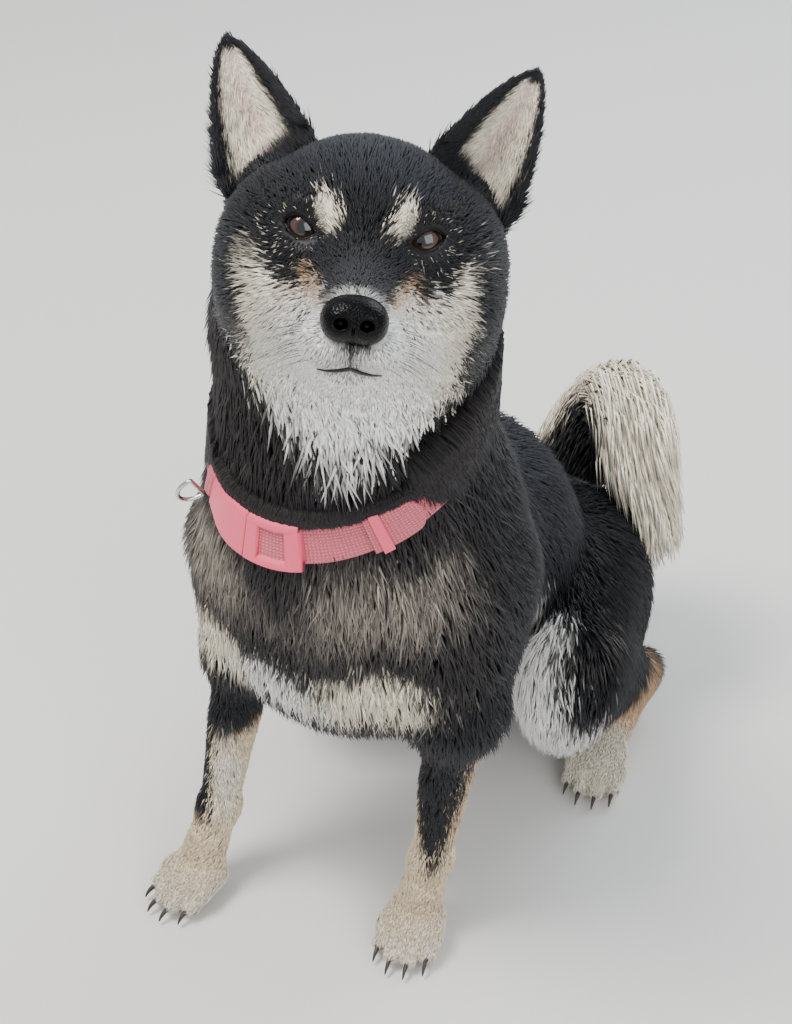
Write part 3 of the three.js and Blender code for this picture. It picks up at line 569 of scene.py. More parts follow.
def bodyMarkings(points, wander):
    x, y, z = points.T
    moved = points + wander[:, None] * (5, 0, 5)
    mottle = 0.75 + 0.5 * waver(points, 9, 8)
    before = y < 128
    right = (x < -20) & before
    outer = blendBetween(-(x + 83) - (y - 60) * 0.1 + wander * 3, -4, 6)
    level = 128 - 74 * outer + wander * 5
    off = np.abs(x - 68) / 14
    stripe = 60 + 72 * np.minimum(off, 1.3) ** 1.4 + 70 * blendBetween(y, 66, 92) + wander * 4
    paleLeft = ((x > 20) & before) * blendBetween(stripe - z, -6, 7) * blendBetween(-z, -166, -150)
    edge = 100 + 0.4 * np.clip(165 - z, 0, 60)
    inner = blendBetween(edge - np.abs(x) + wander * 3, -5, 6) * blendBetween(-y, -200, -178) * (y > 122)
    belly = blendBetween(-np.abs(x), -74, -60) * (y > 90) * (y < 270) * blendBetween(-z, -160, -130)
    foot = (np.abs(x) > 70) & (y > coat["hindFrom"])
    return painted([
        # painted sheen: bluish tone over the back and hips
        ("paintedSheen", blendBetween(y, 90, 170) * blendBetween(z, 150, 260) * 0.65),
        ("brown", blendBetween(-y, -100, -55) * blendBetween(z, 190, 240) * 0.9),
        ("ash", patch(moved, (-66, 22, 280), (30, 70, 34), 0.6) * mottle),
        ("ash", patch(moved, (52, 18, 288), (34, 66, 26), 0.6) * 0.85 * mottle),
        ("ash", patch(moved, (8, 10, 262), (40, 60, 12), 0.7) * 0.3 * mottle),
        ("cream", patch(moved, (-72, 24, 208), (30, 60, 20)) * 0.95),
        ("white", patch(moved, (-14, 6, 204), (44, 60, 13)) * 0.95),
        ("cream", patch(moved, (44, 20, 213), (34, 66, 22)) * 0.95),
        ("sand", right * blendBetween(level - z, -7, 8)),
        ("white", right * patch(points, (-72, 30, 96), (8, 22, 34), 0.5) * 0.6),
        ("sand", paleLeft),
        ("tan", paleLeft * blendBetween(x, 70, 80) * blendBetween(z, 60, 90) * 0.7),
        ("white", before * blendBetween(-z, -34, -10) * 0.4),
        ("white", inner * blendBetween(-z, -206, -182)),
        ("white", belly),
        ("tan", foot * blendBetween(-z, -62, -44) * blendBetween(-y, -345, -300)),
        ("cream", foot * blendBetween(-z, -44, -30) * blendBetween(-y, -290, -256)),
        ("grey", patch(moved, (128, 198, 162), (14, 24, 5), 0.6) * 0.6),
    ])


def tailMarkings(facing, along):  # facing: 1 on the curl's outer side, -1 on its inner side
    return painted([("cream", blendBetween(facing + 0.9 * (along - 0.75), -0.1, 0.42)),
                    ("tan", blendBetween(along, 0.95, 1.3) * 0.35)])


def nearestAlong(points):  # the tail's share at the nearest of its steps
    steps = np.linalg.norm(points[:, None] - tailLine[None, ::4], axis=2).argmin(1)
    return steps * 4 / (len(tailLine) - 1)


def headShare(points):  # 1 on the head, 0 on the body
    local = toHead(points)
    return blendBetween(trunkForm(points) - headForm(local) + 0.12 * (local[:, 2] + 130), -6, 14)


def markings(points, shareOfHead):
    local = toHead(points)
    onHead = headMarkings(local, waver(local, 16, 3))
    wedge = blendBetween(-local[:, 1], -90, -60) * (np.abs(local[:, 0]) < 60) * (local[:, 2] < -60)
    onBody = bodyMarkings(points, waver(points, 42, 5))
    colours = onBody + (onHead - onBody) * np.maximum(shareOfHead, wedge)[:, None]
    onTail = (tailCore(points) < 6) & (bodyForm(points) > -2) & (points[:, 1] > 330)
    if onTail.any():
        along = nearestAlong(points[onTail])
        place, _, out, _ = tailFrame(along)
        colours[onTail] = tailMarkings((unit(points[onTail] - place) * out).sum(1), along)
    return colours


# Lie of the coat: from the nose back over the head, and on the body the nearest of these directions
lieFrom = [
    ((20, 150, 470), (-0.1, 0.5, -0.85)), ((35, 10, 400), (0, 0.25, -1)), ((85, 110, 440), (0.1, 0.2, -1)),
    ((-60, 40, 440), (-0.1, 0.1, -1)), ((0, 20, 260), (0, -0.05, -1)), ((0, 40, 180), (0, 0.4, -1)),
    ((95, 90, 260), (0, 0.3, -1)), ((-98, 90, 260), (0, 0.2, -1)), ((0, 190, 330), (0, 0.75, -0.65)),
    ((0, 290, 230), (0, 0.7, -0.7)), ((0, 380, 110), (0, 0.25, -1)), ((70, 70, 110), (0, 0, -1)),
    ((-80, 60, 110), (0, 0, -1)), ((60, 20, 14), (0.1, -1, -0.3)), ((-94, -10, 14), (-0.25, -1, -0.3)),
    ((0, 220, 100), (0, 0.3, -0.9)), ((0, 130, 170), (0, 0.3, -1)),
]
for place, direction in (  # alike on both sides
    ((85, 200, 225), (0, 0.3, -0.9)), ((128, 250, 130), (0.1, 0, -1)), ((92, 210, 185), (0.35, -0.5, -0.75)),
    ((100, 165, 165), (0.35, -0.7, -0.5)), ((100, 132, 130), (0, -0.1, -1)), ((110, 220, 20), (0.1, -1, -0.25)),
    ((104, 330, 50), (0, -0.2, -1)),
):
    lieFrom += [(np.multiply(place, (side, 1, 1)), np.multiply(direction, (side, 1, 1))) for side in (1, -1)]


def lieOf(points, shareOfHead):
    total = np.zeros_like(points)
    for place, direction in lieFrom:
        weight = 1 / (((points - np.array(place)) ** 2).sum(1) + 900) ** 2
        total += weight[:, None] * np.array(direction)
    local = toHead(points)
    away = unit(local - np.array((0, -82, -30)))
    away[:, 0] *= 1.25
    away[:, 2] -= 0.3 * blendBetween(-local[:, 2], -5, 40)
    away = unit(away)
    for side in (1, -1):  # the coat parts round each eye
        eye = toEye(local, side)
        across = unit(eye[:, [0, 2]] + (0, 0.01))
        spread = 2.2 * (1 - blendBetween(np.linalg.norm(eye[:, [0, 2]], axis=1), 8, 19)) * (eye[:, 1] < 6)
        away += np.stack([across[:, 0] * side, 0 * spread, across[:, 1]], 1) * spread[:, None]
    onHead = unit(away) @ headTurn.T
    lie = unit(total) + (onHead - unit(total)) * shareOfHead[:, None]
    near = tailCore(points) < 12
    if near.any():
        lie[near] = tailFrame(nearestAlong(points[near]))[1]
    return lie


# An unwrap of the skin's own shape: round and along the limb that a place belongs to, each in its own square
limbs = [
    (fromHead((0, 110, -10)), fromHead((0, -90, -36))), (trunk["neckBase"], trunk["neckTop"]),
    (trunk["chest"], (-2, 100, 330)), (trunk["chest"], trunk["loin"]), (trunk["loin"], trunk["hip"]),
    ((0, 300, 100), (0, 310, 20)), (tailLine[10], tailLine[70]), (tailLine[70], tailLine[-1]),
]
for leg in legs.values():
    limbs += [(leg["elbow"], leg["wrist"]), (leg["wrist"], leg["paw"]),
              (leg["hip"], leg["knee"]), (leg["hock"], leg["foot"])]
unwrap = {"squares": 4, "room": 0.02}


def unwrapOf(points):
    best, result = np.full(len(points), 1e9), np.zeros((len(points), 2))
    for index, (start, end) in enumerate(limbs):
        start, end = np.array(start, float), np.array(end, float)
        length = np.linalg.norm(end - start)
        along = (end - start) / length
        side = unit(np.cross(along, (0.3, 0.9, 0.2)))
        deep = np.cross(along, side)
        offset = points - start
        run = offset @ along / length
        past = offset - np.outer(np.clip(run, 0, 1) * length, along)
        distance = np.linalg.norm(past, axis=1)
        u = np.arctan2(offset @ side, offset @ deep) / (2 * math.pi) + 0.5
        v = (np.clip(run, -1, 2) + 1) / 3
        square = np.array([index % unwrap["squares"], index // unwrap["squares"]])
        inner = unwrap["room"] + (1 - 2 * unwrap["room"]) * np.stack([u, v], 1)
        closer = distance < best
        best = np.where(closer, distance, best)
        result = np.where(closer[:, None], (square + inner) / unwrap["squares"], result)
    return result


# Tufts: each is a closed spindle from a root through a bent middle ring to its tip
patchSize = 0.003  # each tuft's own square of the unwrap
tuftFaces = np.array([[0, 1, 2], [0, 2, 3], [0, 3, 1], [4, 2, 1], [4, 3, 2], [4, 1, 3]])
random = np.random.default_rng(21)


def tuftPiece(name, points, faces, colours, rootShadeTipLight, base, patchCorners):
    faces = repeated(faces, len(points))
    piece = meshPiece(name, points.reshape(-1, 3), faces)
    # each corner's colour scaled: painted shade at the root, painted light towards the tip
    keepColours(piece, (colours[:, None] * np.array(rootShadeTipLight)[None, :, None]).reshape(-1, 3))
    layer = piece.data.uv_layers.new(name="OFBake")
    spots = unwrapOf(base)[:, None] + np.array(patchCorners) * patchSize
    layer.data.foreach_set("uv", spots.reshape(-1, 2)[faces.ravel()].astype(np.float32).ravel())


def spindles(name, base, middle, tip, across, outward, width, colours):
    points = np.stack([
        base, middle - across * width / 2, middle + across * width / 2, middle + outward * width * 0.4, tip,
    ], 1)
    points[:, :, 2] = np.maximum(points[:, :, 2], 0.25 + 0.02 * np.arange(5))
    # painted shade at the root, painted light on the outward side and the tip
    tuftPiece(name, points, tuftFaces, colours, [0.55, 0.95, 0.95, 1.0, 1.25],
              base, [[0, 0], [1, 0], [1, 1], [0, 1], [0.5, 0.5]])


def tuftMesh(name, roots, normals, lies, length, width, height, colours):
    lies = unit(lies - normals * (lies * normals).sum(1, keepdims=True))
    across = np.cross(normals, lies)
    lies = unit(lies + across * random.normal(0, 0.2, (len(roots), 1)))
    across = np.cross(normals, lies)
    length, width, height = length[:, None], width[:, None], height[:, None]
    base = roots - normals * 0.5
    middle = base + lies * length * 0.42 + normals * height * 0.72
    sway = random.normal(0, 0.05, (len(roots), 1))
    tip = base + lies * length * 0.97 + normals * height + across * length * sway
    spindles(name, base, middle, tip, across, normals, width, colours)


def trianglesOf(quads):
    return np.vstack([quads[:, [0, 1, 2]], quads[:, [0, 2, 3]]])


def slopeOf(form, points):  # the direction in which the form rises
    return unit(np.stack([form(points + step) - form(points - step) for step in np.eye(3) * 0.8], 1))


def scatter(points, triangles, density):  # each place as its triangle's corners with their shares
    p = points[triangles]
    area = np.linalg.norm(np.cross(p[:, 1] - p[:, 0], p[:, 2] - p[:, 0]), axis=1) / 2
    chance = area * density[triangles].mean(1)
    total = chance.sum()
    count = int(total)
    chosen = np.searchsorted(np.cumsum(chance) / total, random.random(count))
    chosen = np.minimum(chosen, len(triangles) - 1)
    a, b = random.random(count), random.random(count)
    over = a + b > 1
    a, b = np.where(over, 1 - a, a), np.where(over, 1 - b, b)
    return triangles[chosen], np.stack([1 - a - b, a, b], 1)


# Skin: a fine net over the face and a coarser one over the body, whose ends lie inside one another
print("skin")
skinNet = {"bodyCell": 4.2, "bodyLow": (-140, -50, 0.2), "bodyHigh": (150, 420, 470),
           "headCell": 1.9, "headBelow": 88, "shade": 0.6}
bodyPoints, bodyQuads = netOf(skinForm, skinNet["bodyLow"], skinNet["bodyHigh"], skinNet["bodyCell"])
headCorners = fromHead([[x, y, z] for x in (-70, 70) for y in (-100, 124) for z in (-92, 62)])


def headOnly(points):  # down to a level under the eyes, and to a slanted plane at the nape
    _, y, z = toHead(points).T
    return np.maximum(faceForm(points), np.maximum(-skinNet["headBelow"] - z, 0.55 * (y - 96) - z - 60))


headPoints, headQuads = netOf(headOnly, headCorners.min(0) - 2, headCorners.max(0) + 2, skinNet["headCell"])
skinPoints = np.vstack([bodyPoints, headPoints])
skinQuads = np.vstack([bodyQuads, headQuads + len(bodyPoints)])
print("skin faces", len(skinQuads))
skinShare = headShare(skinPoints)
skin = meshPiece("skin", skinPoints, skinQuads)
# the skin's markings darkened by the shade factor: painted shade under the coat
keepColours(skin, markings(skinPoints, skinShare) * skinNet["shade"])
fleshParts = ("head", "neck", "torso", "front", "hind", "tail")
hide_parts(*[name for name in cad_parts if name.split("_")[0] in fleshParts])

# Coat over the skin, in pieces of a few tens of thousand tufts
print("coat")
skinTriangles = trianglesOf(skinQuads)
skinNormals = np.vstack([slopeOf(skinForm, bodyPoints), slopeOf(faceForm, headPoints)])
depth = coatDepth(skinPoints)
tuftLength = depth * coat["tuftPerDepth"]
tuftWidth = coat["widthBase"] + coat["widthPerLength"] * tuftLength
density = np.minimum(coat["layers"] / (0.6 * tuftLength * tuftWidth), coat["mostPerArea"])
density = density * (skinPoints[:, 2] > 1.5) * (tailCore(skinPoints) > 3)
localSkin = toHead(skinPoints)
buried = np.zeros(len(skinPoints), bool)
buried[:len(bodyPoints)] = headOnly(bodyPoints) < -1.5
buried[len(bodyPoints):] = skinForm(headPoints) < -3
buried |= noseForm(localSkin) < 0.6
for side in (1, -1):
    eye = toEye(localSkin, side)
    buried |= (np.linalg.norm(eye, axis=1) < head["eyeRadius"] + 0.9) & (eye[:, 1] < 3)
    buried |= (almond(eye) < 0.9) & (eye[:, 1] < 0) & (eye[:, 1] > -14)
density[buried] = 0
corners, shares = scatter(skinPoints, skinTriangles, density)


def mixed(values):
    if values.ndim == 2:
        return (values[corners] * shares[:, :, None]).sum(1)
    return (values[corners] * shares).sum(1)


roots = mixed(skinPoints)
normals = unit(mixed(skinNormals))
rootShare = mixed(skinShare)
lengths = mixed(tuftLength) * random.uniform(0.8, 1.2, len(roots))
widths = mixed(tuftWidth) * random.uniform(0.8, 1.25, len(roots))
heights = mixed(depth) * random.uniform(0.78, 1.08, len(roots))
spread = 0.6 + 0.16 * lengths
lies = lieOf(roots, rootShare)
alongSkin = unit(lies - normals * (lies * normals).sum(1, keepdims=True))
shown = roots + alongSkin * lengths[:, None] * 0.5 + random.normal(0, 1, roots.shape) * spread[:, None]
colours = markings(shown, rootShare) * random.lognormal(0, 0.14, (len(roots), 1))
localRoots = toHead(roots)
for side in (1, -1):  # scattered white hairs round the eyes
    eye = toEye(localRoots, side)
    around = np.linalg.norm((eye[:, [0, 2]] - (2, -4)) / (17, 15), axis=1)
    nearEye = (around < 1) & (eye[:, 1] < 4) & (random.random(len(roots)) < 0.08)
    colours[nearEye] = tones["cream"] * 0.42
order = np.argsort(rootShare + 0.001 * roots[:, 1])
perPiece = 32000
for index, part in enumerate(np.array_split(order, -(-len(order) // perPiece))):
    tuftMesh(f"coat_{index + 1}", roots[part], normals[part], lies[part], lengths[part],
             widths[part], heights[part], colours[part])
print("coat tufts", len(roots))

# Tail: long locks over the core, each two rings along the curl, lifting to the brush's edge
print("tail")
brush = {"count": 9000, "length": 78, "width": 2.6, "thick": 0.9}
lockFaces = np.array([
    [0, 1, 2], [0, 2, 3], [0, 3, 1],
    [1, 4, 5], [1, 5, 2], [2, 5, 6], [2, 6, 3], [3, 6, 4], [3, 4, 1],
    [7, 5, 4], [7, 6, 5], [7, 4, 6],
])


def brushRadius(angle):
    facing = np.cos(angle)
    edge = np.where(facing > 0, tail["outside"], tail["inside"])
    return tail["beside"] + (edge - tail["beside"]) * facing ** 2


start = random.uniform(0.04, 0.97, brush["count"])
angle = random.uniform(-math.pi, math.pi, brush["count"])
reach = brush["length"] / tailLength * random.uniform(0.6, 1.15, brush["count"])
reach = np.minimum(reach, random.uniform(1.0, 1.09, brush["count"]) - start)
rise = brushRadius(angle) * random.uniform(0.55, 1.0, brush["count"]) ** 0.7
swing = random.normal(0, 0.14, brush["count"])
rows = []
for t, wide in ((0, 0), (0.35, 1), (0.72, 0.8), (1, 0)):
    place, ahead, out, beside = tailFrame(start + reach * t)
    turn = (angle + swing * t)[:, None]
    radial = out * np.cos(turn) + beside * np.sin(turn)
    around = beside * np.cos(turn) - out * np.sin(turn)
    far = tail["core"] * 0.7 + (rise - tail["core"] * 0.7) * math.sin(t * math.pi / 2) ** 0.85
    middle = place + radial * far[:, None]
    if wide == 0:
        rows.append(middle[:, None])
    else:
        half = around * brush["width"] * wide / 2
        rows.append(np.stack([middle - half, middle + half, middle + radial * brush["thick"] * wide], 1))
lockPoints = np.concatenate(rows, 1)
lockPoints[:, :, 2] = np.maximum(lockPoints[:, :, 2], 0.3)
keep = bodyForm(lockPoints[:, 7]) > -2
lockPoints, facing, lockMiddle = lockPoints[keep], np.cos(angle[keep]), start[keep] + reach[keep] * 0.5
lockTones = tailMarkings(facing + random.normal(0, 0.18, len(facing)), lockMiddle)
lockTones = lockTones * random.lognormal(0, 0.12, (len(facing), 1))
# painted shade at each lock's root, painted light along its outer side and tip
tuftPiece("tail_brush", lockPoints, lockFaces, lockTones, [0.5, 0.85, 0.85, 0.9, 1, 1, 1.05, 1.15],
          lockPoints[:, 1], [[0, 0], [1, 0], [1, 1], [0, 1], [0.2, 0.2], [0.8, 0.2], [0.8, 0.8], [0.5, 0.5]])
print("tail locks", len(lockPoints))

# Ears: a cupped shell, round from one edge over its back to the other and along to a blunt tip
print("ears")
ear = {"inner": (29, 42, 46), "outer": (70, 44, 20), "tip": (74, 38, 84), "halfWidth": 26, "cup": 15,
       "thick": 3.0, "rim": 1.4, "tipLine": (0.88, 0.2, -0.43), "from": -0.25, "steps": 44, "sides": 20,
       "tufts": 14000}


def earShell(side, height, across, face):  # height 0 to 1, across -1 to 1, face -1 (inner) or 1 (back)
    base = (np.array(ear["inner"]) + np.array(ear["outer"])) / 2
    up = np.array(ear["tip"]) - base
    baseLine = np.array(ear["outer"], float) - np.array(ear["inner"])
    baseLine[1] = 16
    baseLine, tipLine = unit(baseLine), unit(np.array(ear["tipLine"]))
    share = np.maximum(0, height)[:, None]
    line = unit(baseLine + (tipLine - baseLine) * share)
    back = unit(np.cross(up, line))
    back = np.where(back[:, 1:2] < 0, -back, back)
    half = np.maximum(2.2, ear["halfWidth"] * 0.5 * (1 - share + np.sqrt(np.maximum(0, 1 - share ** 2))))
    cup = ear["cup"] * (1 - share) ** 0.8 * np.where(height[:, None] < 0, 0.7, 1)
    bulge = (1 - across ** 2)[:, None]
    thick = ear["rim"] + (ear["thick"] - ear["rim"]) * bulge * (1 - share * 0.5)
    place = base + up * height[:, None] + line * half * across[:, None]
    place = place + back * (cup * bulge + face[:, None] * thick / 2 - cup * 0.4)
    return fromHead(place * (side, 1, 1))


def earColours(across, height, face):
    inside = (face < 0) * blendBetween(across, -0.62, -0.42) * (1 - blendBetween(across, 0.74, 0.9))
    inside = inside * (1 - blendBetween(height, 0.84, 0.93))
    inside = inside * blendBetween(height + 0.1 * across, -0.14, -0.02)
    middle = np.stack([across - 0.12, height - 0.3, 0 * height], 1)
    pink = patch(middle, (0, 0, 0), (0.32, 0.36, 1), 0.6) * 0.5 * (face < 0)
    return painted([("cream", inside), ("earSkin", pink)])


for label, side in (("left", 1), ("right", -1)):
    sweep = np.linspace(-1, 1, ear["sides"])
    heightAll = np.repeat(np.linspace(ear["from"], 1, ear["steps"]), 2 * ear["sides"])
    acrossAll = np.tile(np.concatenate([sweep, sweep[::-1]]), ear["steps"])
    faceAll = np.tile(np.repeat([-1.0, 1.0], ear["sides"]), ear["steps"])
    shell = earShell(side, heightAll, acrossAll, faceAll)
    piece = sweepPiece(f"ear_shell_{label}", shell.reshape(ear["steps"], -1, 3))
    shellTones = earColours(acrossAll, heightAll, faceAll)
    # the shell's colours darkened to 0.7 as painted shade under the ear's coat, then pink skin inside
    shellTones = paint(shellTones * 0.7, "earSkin", (faceAll < 0) * (shellTones[:, 0] > 0.3) * 0.8)
    keepColours(piece, np.vstack([shellTones, shellTones[[0, -1]]]))
    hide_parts(f"ear_{label}")
    count = ear["tufts"]
    h = random.uniform(ear["from"], 1, count)
    h = np.where(random.random(count) < h * 0.45, random.uniform(ear["from"], 0.6, count), h)
    a, f = random.uniform(-1, 1, count), np.where(random.random(count) < 0.5, -1.0, 1.0)
    atRim = random.random(count) < 0.2
    a = np.where(atRim, np.sign(a) * random.uniform(0.93, 1.0, count), a)
    spot = earShell(side, h, a, f)
    rimOut = unit(earShell(side, h, a * 1.02 + 1e-3, f) - spot) * np.sign(a)[:, None]
    lie = unit(earShell(side, h + 0.02, a, f) - spot) + 0.25 * rimOut * np.where(atRim, 1.5, 0.2)[:, None]
    inner = f < 0
    size = np.where(inner, 8.5 * (1.15 - h) + 2.5, 5.0)
    fluff = np.where(inner, 1.6 * (1.1 - h) + 0.5, 0.9)
    tuftTones = earColours(a + random.normal(0, 0.04, count), h, f) * random.lognormal(0, 0.14, (count, 1))
    size = size * random.uniform(0.7, 1.2, count)
    width = np.where(inner, 0.55, 0.6) * random.uniform(0.8, 1.2, count)
    normal = unit(spot - earShell(side, h, a, -f))
    tuftMesh(f"ear_coat_{label}", spot, normal, lie, size, width, fluff, tuftTones)

# Nose, a fine net of its own
print("nose")
nosePoints, noseQuads = netOf(noseShape, (-18, -94, -50), (18, -62, -22), 0.75)
nose = meshPiece("nose_pad", fromHead(nosePoints), noseQuads)
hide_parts("nose")

# Eyes: a ball whose rings lie round the line of sight, so that pupil and iris follow them
print("eyes")
cameraPlace = np.array([375.3, -569.5, 826.0])
eyeLook = {"rings": 48, "sides": 48}
for label, side in (("left", 1), ("right", -1)):
    centre = fromEye(np.zeros((1, 3)), side)[0]
    sight = unit(cameraPlace - centre)
    right = unit(np.cross(sight, (0, 0, 1)))
    above = np.cross(right, sight)
    polar = np.linspace(0.02, math.pi - 0.02, eyeLook["rings"])
    line = centre + head["eyeRadius"] * np.outer(np.cos(polar), sight)
    ball = tubeOf(line, right, above, head["eyeRadius"] * np.sin(polar), eyeLook["sides"])
    piece = sweepPiece(f"eye_ball_{label}", ball)
    layer = piece.data.attributes.new("fromSight", "FLOAT", "POINT")
    values = np.append(np.repeat(polar, eyeLook["sides"]), [0.0, math.pi]) / (math.pi / 2)
    layer.data.foreach_set("value", values.astype(np.float32))
    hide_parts(f"eye_{label}")
    # the lids' dark rim, round the almond opening on the eye's own ball
    turn = np.linspace(0, 2 * math.pi, 72, endpoint=False)
    x = lids["halfLength"] * np.cos(turn)
    z = lids["slope"] * x + lids["rise"] + lids["halfHeight"] * np.sin(turn) * np.abs(np.sin(turn))
    radius = head["eyeRadius"] + 0.75
    line = np.stack([x, -np.sqrt(radius ** 2 - x ** 2 - z ** 2), z], 1)
    ahead = unit(np.roll(line, -1, 0) - np.roll(line, 1, 0))
    out = unit(line)
    tube = tubeOf(line, out * 0.9, np.cross(ahead, out), 0.95, 10)
    sweepPiece(f"eyelid_{label}", fromEye(tube, side), looped=True)

# Mouth: the lips' dark line where rays from inside the muzzle leave it
print("mouth")


def surfaceAlong(form, start, direction, reach):
    near, far = np.zeros(len(start)), np.full(len(start), float(reach))
    for _ in range(22):
        middle = (near + far) / 2
        inside = form(start + direction * middle[:, None]) < 0
        near, far = np.where(inside, middle, near), np.where(inside, far, middle)
    return near


mouth = {"angle": 78, "steps": 60, "radius": 0.8, "shown": 0.5, "sides": 8, "sunk": 1.3,
         "grooveTop": -46, "grooveEnd": -57, "grooveRadius": 0.6}


def lineOnHead(source, heading, sunk):  # where the rays leave the head, and a little inside
    return source + heading * (surfaceAlong(headForm, source, heading, 60) - sunk)[:, None]


share = np.linspace(-mouth["shown"], mouth["shown"], mouth["steps"])
swing = np.radians(mouth["angle"]) * share
source = np.stack([np.zeros_like(swing), -46 + 36 * (1 - np.cos(swing)),
                   -57.5 - 2.4 * np.sin(math.pi * np.abs(share)) + 5 * share ** 4], 1)
heading = np.stack([np.sin(swing), -np.cos(swing), np.zeros_like(swing)], 1)
line = lineOnHead(source, heading, mouth["sunk"])
thick = mouth["radius"] * (1.15 - 0.85 * (share / mouth["shown"]) ** 2)
ahead = unit(np.gradient(line, axis=0))
sweepPiece("lips", fromHead(tubeOf(line, heading, np.cross(ahead, heading), thick, mouth["sides"])))
groove = np.linspace(mouth["grooveTop"], mouth["grooveEnd"], 12)
source = np.stack([np.zeros_like(groove), np.full_like(groove, -50), groove], 1)
line = lineOnHead(source, np.tile((0.0, -1.0, 0.0), (12, 1)), mouth["sunk"])
tube = tubeOf(line, (0, -1, 0), (1, 0, 0), mouth["grooveRadius"], mouth["sides"])
sweepPiece("lip_groove", fromHead(tube))

# Whiskers: thin tapered hairs in rows on each side of the muzzle
print("whiskers")
whiskers = {"rows": 4, "each": 5, "length": 34, "radius": 0.16, "sunk": 2, "droop": 0.16}
hairFaces = [[0, 1, 2], [9, 11, 10]]
for corner in range(9):
    beside = corner - corner % 3 + (corner + 1) % 3
    hairFaces += [[corner, corner + 3, beside + 3], [corner, beside + 3, beside]]
for label, side in (("left", 1), ("right", -1)):
    spots = [(row, column) for row in range(whiskers["rows"]) for column in range(whiskers["each"])]
    starts = np.array([(0, -66 + 4 * column, -42 - 3.4 * row + 0.8 * column) for row, column in spots])
    heads = unit(np.array([(side, -0.25 + 0.1 * column, -0.05 * row) for row, column in spots]))
    first = lineOnHead(starts, heads, whiskers["sunk"])
    away = unit(heads * 0.8 + np.array([0, 1.0, -0.16]) + random.normal(0, 0.08, first.shape))
    long = whiskers["length"] * random.uniform(0.55, 1.15, (len(first), 1))
    down = np.array([0, 0, -1.0])
    across = unit(np.cross(away, down))
    rows = []
    for t, wide in ((0, 1), (0.3, 0.8), (0.65, 0.5), (1, 0.08)):
        middle = first + away * long * t + down * long * whiskers["droop"] * t * t
        rows.append(tubeOf(middle, across, np.cross(away, across), whiskers["radius"] * wide, 3))
    points = np.concatenate(rows, 1)
    faces = repeated(np.array(hairFaces), len(points))
    meshPiece(f"whiskers_{label}", fromHead(points.reshape(-1, 3)), faces)

# Claws, tapered and bent down from the toes
print("claws")
clawShape = {"radius": 2.6, "tip": 0.45, "steps": 10, "sides": 10}
for foot in ("front_left", "front_right", "hind_left", "hind_right"):
    end, label = foot.split("_")
    leg = legs[label]
    centre, turn = (leg["paw"], leg["pawTurn"]) if end == "front" else (leg["foot"], leg["footTurn"])
    for index in range(4):
        toe = toeLine(centre, turn, index)
        a = toe["tip"] + (toe["claw"] - toe["tip"]) * 0.1 + (0, 0, 0.6)
        b = toe["tip"] + (toe["claw"] - toe["tip"]) * 0.75
        b[2] = toe["tip"][2] + 0.5
        t = np.linspace(0, 1, clawShape["steps"])[:, None]
        line = a * (1 - t) ** 2 + b * 2 * t * (1 - t) + toe["claw"] * t * t
        ahead = unit(np.gradient(line, axis=0))
        across = unit(np.cross((0, 0, 1.0), toe["claw"] - toe["tip"]))
        up = np.cross(ahead, across)
        size = (clawShape["radius"] * (1 - t) ** 0.8 + clawShape["tip"] * t)[:, 0]
        rings = tubeOf(line, across * 0.75, up, size, clawShape["sides"])
        rings[:, :, 2] = np.maximum(rings[:, :, 2], 0.4)
        piece = sweepPiece(f"claw_horn_{foot}_{index + 1}", rings)
        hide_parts(f"claw_{foot}_{index + 1}")

# Collar, on a slanted plane round the neck. Angles run from the front towards the dog's left.
print("collar")
collar = {"point": (26.6, 12.5, 330.5), "facing": (-0.1, -0.56, 0.82), "middle": (5, 82), "width": 20,
          "thick": 2.4, "outer": -0.9, "buckleFrom": -41, "buckleJoint": -18, "buckleTo": 4,
          "slideFrom": 32.5, "slideTo": 36.5, "endTo": 52, "ringAt": -45, "radius": 82}
collarUp = unit(np.array(collar["facing"]))
collarAcross = unit(np.array([1.0, 0, 0]) - collarUp * collarUp[0])
collarBack = np.cross(collarUp, collarAcross)
collarMiddle = np.array([*collar["middle"], 0.0])  # lifted on to the collar's plane
collarMiddle[2] = (np.array(collar["point"]) - collarMiddle) @ collarUp / collarUp[2]


def collarOut(degrees):
    angle = np.radians(degrees)[:, None]
    return collarAcross * np.sin(angle) - collarBack * np.cos(angle)


def onCollar(degrees, rise, radial):  # radial counts outwards from the coat's surface
    out = collarOut(degrees)
    start = collarMiddle + collarUp * rise[:, None]
    reach = surfaceAlong(bodyForm, start, out, 130)
    return start + out * (reach + radial)[:, None]


def band(name, degrees, size, shift=0):  # a rounded bar: half-width, inner and outer face, corner
    steps, sides = len(degrees), 28
    turn = np.linspace(0, 2 * math.pi, sides, endpoint=False) + math.pi / sides
    halfWidth, inner, outer, corner = (np.broadcast_to(value, steps)[:, None] for value in size)
    middle, half = (inner + outer) / 2, (outer - inner) / 2
    corner = np.minimum(corner, np.minimum(half, halfWidth))
    c, s = np.cos(turn), np.sin(turn)
    rise = np.sign(c) * np.minimum(np.abs(c) * 1.6, 1) * (halfWidth - corner) + corner * c + shift
    radial = middle + np.sign(s) * np.minimum(np.abs(s) * 1.6, 1) * (half - corner) + corner * s
    points = onCollar(np.repeat(degrees, sides), rise.ravel(), radial.ravel())
    piece = sweepPiece(name, points.reshape(steps, sides, 3))
    uv = np.stack([np.repeat(np.radians(degrees) * collar["radius"], sides), rise.ravel()], 1) / 100
    uv = np.vstack([uv, uv[[0, -1]]])
    index = np.zeros(len(piece.data.loops), np.int32)
    piece.data.loops.foreach_get("vertex_index", index)
    layer = piece.data.uv_layers.new(name="UVMap")
    layer.data.foreach_set("uv", uv[index].astype(np.float32).ravel())
    return piece


